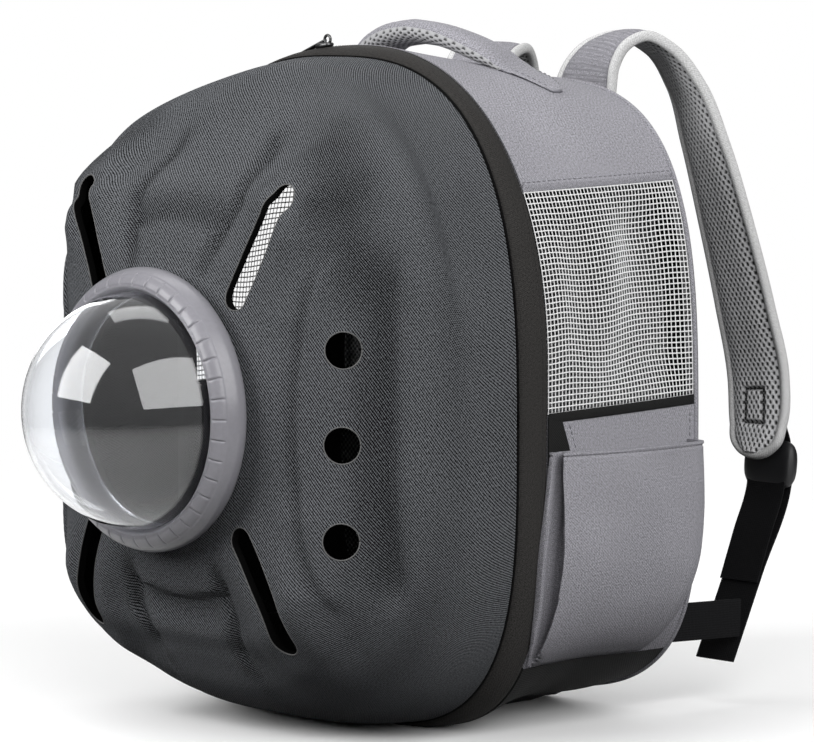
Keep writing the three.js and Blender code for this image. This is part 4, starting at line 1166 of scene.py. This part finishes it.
def make_adjuster(hand, side):
    mirror = np.array([side, 1, 1])
    at = np.array(BUCKLE_AT) * mirror
    across = np.array([1.0, 0, 0])
    up = unit(np.array([0, BUCKLE_LEAN, 1.0]))
    out = np.cross(across, up)
    foot = np.array(WEBBING_FOOT) * mirror
    lower = at - up * BUCKLE_HEIGHT / 2
    clear = BUCKLE_THICK / 2 + GAP + WEBBING_HALF_THICK
    behind, ahead = lower - out * clear, lower + out * clear
    tail = behind + (foot - behind) * TAIL_SHARE + out * (GAP + 2 * WEBBING_HALF_THICK)
    before = [foot, foot + (behind - foot) * 0.5, behind]
    line = wrap_line(at, up, out, before, [ahead, (ahead + tail) / 2, tail])
    tape(f"webbing_{hand}", line, across, f"strap_webbing_{hand}")
    bar = at + up * (BUCKLE_HEIGHT - BUCKLE_BAR) / 2
    seat = STRAP_HALF_THICK + GAP + WEBBING_HALF_THICK
    layers = []
    for away in (seat, seat + GAP + 2 * WEBBING_HALF_THICK):
        layers.append(np.array([(bar[0], y + away, z) for y, z in LOOP_SEAM]))
    under, over = layers
    far = unit(bar - under[-1])
    line = wrap_line(bar, far, np.cross(far, across), over, under[::-1])
    tape(f"strap_loop_web_{hand}", line, across, f"strap_loop_{hand}", LOOP_HALF_WIDTH)
    ends = np.array([TAB_START, TAB_END]) * mirror
    k = np.linspace(0, 1, 7)[:, None]
    tape(f"corner_tab_{hand}", ends[0] + (ends[1] - ends[0]) * k, (0, 0, 1), f"strap_tab_{hand}",
         TAB_HALF_HEIGHT, TAB_HALF_THICK, 60)
    k = np.linspace(-1, 1, 31)
    size = np.maximum((1 - np.abs(k) ** 5) ** 0.3, 0.15)
    path = at + across * (k * ADJUSTER_HALF_WIDTH)[:, None]
    rings = tube_rings(path, ADJUSTER_HALF_HEIGHT * size, ADJUSTER_HALF_THICK * size, up, 32, 2.3)
    add_rings(f"adjuster_{hand}", rings, "plastic", "black_plastic", [f"strap_buckle_{hand}"], woven=False)


def make_slider():
    """Zip slider on the band's crest, with a small ring and a flat pull lying along the crest."""
    def crest(x):
        z = [body_point(np.array(BAND_BACK_Y), np.array(a), 0.4)[2] for a in np.arccos(x / BODY_ROWS[0][1])]
        return xyz(x, SLIDER_Y, np.array(z))
    x = np.linspace(-6, 6, 13) + SLIDER_X
    size = np.sin(np.linspace(0.25, math.pi - 0.25, 13)) ** 0.4
    body = tube_rings(crest(x) + (0, 0, 1.2), 4.2 * size, 1.9 * size, (0, 1, 0), 20, 3)
    add_rings("slider", body, "metal", "zip_metal", ["zipper_slider"], woven=False)
    turn = np.linspace(0, 2 * math.pi, 25)[:, None]
    middle = crest(np.array([SLIDER_X + 3.0]))[0] + (0, 0, 4.6)
    ring = middle + 2.6 * (np.cos(turn) * np.array([1, 0, 0]) + np.sin(turn) * np.array([0, 0, 1]))
    x = np.linspace(-25, 1, 27) + SLIDER_X
    k = np.linspace(0, 1, 27)
    wide = 2.8 * (1 - 0.35 * k) * np.sin(np.linspace(0.2, math.pi - 0.2, 27)) ** 0.25
    pull = tube_rings(crest(x) + xyz(0, 0, 1.5 + 3 * k ** 2), wide, 0.75, (0, 1, 0), 14, 4)
    parts = [rings_solid(tube_rings(ring, 0.9, 0.9, (0, 1, 0), 8)), rings_solid(pull)]
    add_parts("slider_pull", parts, "metal", "zip_metal", ["zipper_pull"])


# Stage, light and camera
def make_stage():
    """Pale floor that fades into the white studio, which lights softly from above."""
    corners = [(-1, -1), (1, -1), (1, 1), (-1, 1)]
    points = [(x * FLOOR_REACH, y * FLOOR_REACH, FLOOR_Z) for x, y in corners]
    mesh = plain_mesh("floor", points, [(0, 1, 2, 3)], [])
    n = Nodes("pale_floor", 0.9, Base_Color=FLOOR_COLOUR)
    far = n.add("ShaderNodeVectorMath", operation="LENGTH")
    n.link(n.place, far.inputs[0])
    fade = n.add("ShaderNodeMapRange", interpolation_type="SMOOTHSTEP")
    rows = (("From Min", FLOOR_NEAR), ("From Max", FLOOR_REACH), ("To Min", 1), ("To Max", 0))
    for socket, value in rows:
        fade.inputs[socket].default_value = value
    n.link(far.outputs["Value"], fade.inputs["Value"])
    n.link(fade.outputs[0], n.shader.inputs["Alpha"])
    mesh.materials.append(n.material)
    floor = place("floor", mesh)
    floor.visible_diffuse = False


def make_world():
    """White studio: brighter to the eye, also through clear plastic, than as a light."""
    scene = bpy.context.scene
    scene.view_settings.view_transform = "Standard"
    scene.world = bpy.data.worlds.new("studio")
    scene.world.use_nodes = True
    nodes, links = scene.world.node_tree.nodes, scene.world.node_tree.links
    height = nodes.new("ShaderNodeSeparateXYZ")
    links.new(nodes.new("ShaderNodeTexCoord").outputs["Generated"], height.inputs[0])
    above = nodes.new("ShaderNodeMapRange")
    for socket, value in (("From Min", -0.05), ("From Max", 0.75), ("To Min", 0), ("To Max", AMBIENT)):
        above.inputs[socket].default_value = value
    links.new(height.outputs["Z"], above.inputs["Value"])
    strength = above.outputs[0]
    paths = nodes.new("ShaderNodeLightPath").outputs
    for path, seen in (("Is Transmission Ray", SEEN_THROUGH), ("Is Camera Ray", 1.0)):
        choice = nodes.new("ShaderNodeMix")
        links.new(paths[path], choice.inputs["Factor"])
        links.new(strength, choice.inputs["A"])
        choice.inputs["B"].default_value = seen
        strength = choice.outputs["Result"]
    background = nodes["Background"]
    background.inputs["Color"].default_value = (1, 1, 1, 1)
    links.new(strength, background.inputs["Strength"])


def soft_box(name, direction, distance, size, power):
    """Rectangular light that faces the dome from a direction."""
    target = Vector((0, RIM_Y - DOME_CENTRE, WINDOW_Z)) * MM
    light = bpy.data.lights.new(name, "AREA")
    light.shape = "RECTANGLE"
    light.size, light.size_y = size
    light.energy = power
    lamp = place(name, light)
    lamp.location = target + Vector(direction).normalized() * distance
    lamp.rotation_euler = (target - lamp.location).to_track_quat("-Z", "Y").to_euler()


def make_camera():
    camera = place("camera", bpy.data.cameras.new("camera"))
    camera.data.sensor_width = CAMERA_SENSOR
    camera.data.lens = CAMERA_LENS
    camera.data.clip_end = CAMERA_FAR
    camera.location = CAMERA_AT
    camera.rotation_euler = (Vector(CAMERA_TARGET) - Vector(CAMERA_AT)).to_track_quat("-Z", "Y").to_euler()
    bpy.context.scene.camera = camera


make_camera()
make_world()
make_stage()
soft_box("top_box", (-0.3, 0.25, 0.92), 1.7, (1.05, 0.6), 4.5)
soft_box("front_box", (-0.28, -0.8, 0.5), 1.7, (1.25, 1.25), 34.5)
soft_box("back_fill", (-0.62, 0.74, 0.3), 2.8, (2.4, 1.8), 34)
soft_box("right_fill", (0.86, -0.12, 0.5), 2.6, (3.2, 2.2), 90)

make_shell()
make_rim_gap_shade()
make_ring()
make_dome()
make_band()
make_top()
make_base()
make_back()
make_handle()
for hand, side in SIDES:
    make_side(hand, side)
    make_net(hand, side)
    make_pocket(hand, side)
    make_strap(hand, side)
    make_adjuster(hand, side)
make_slider()
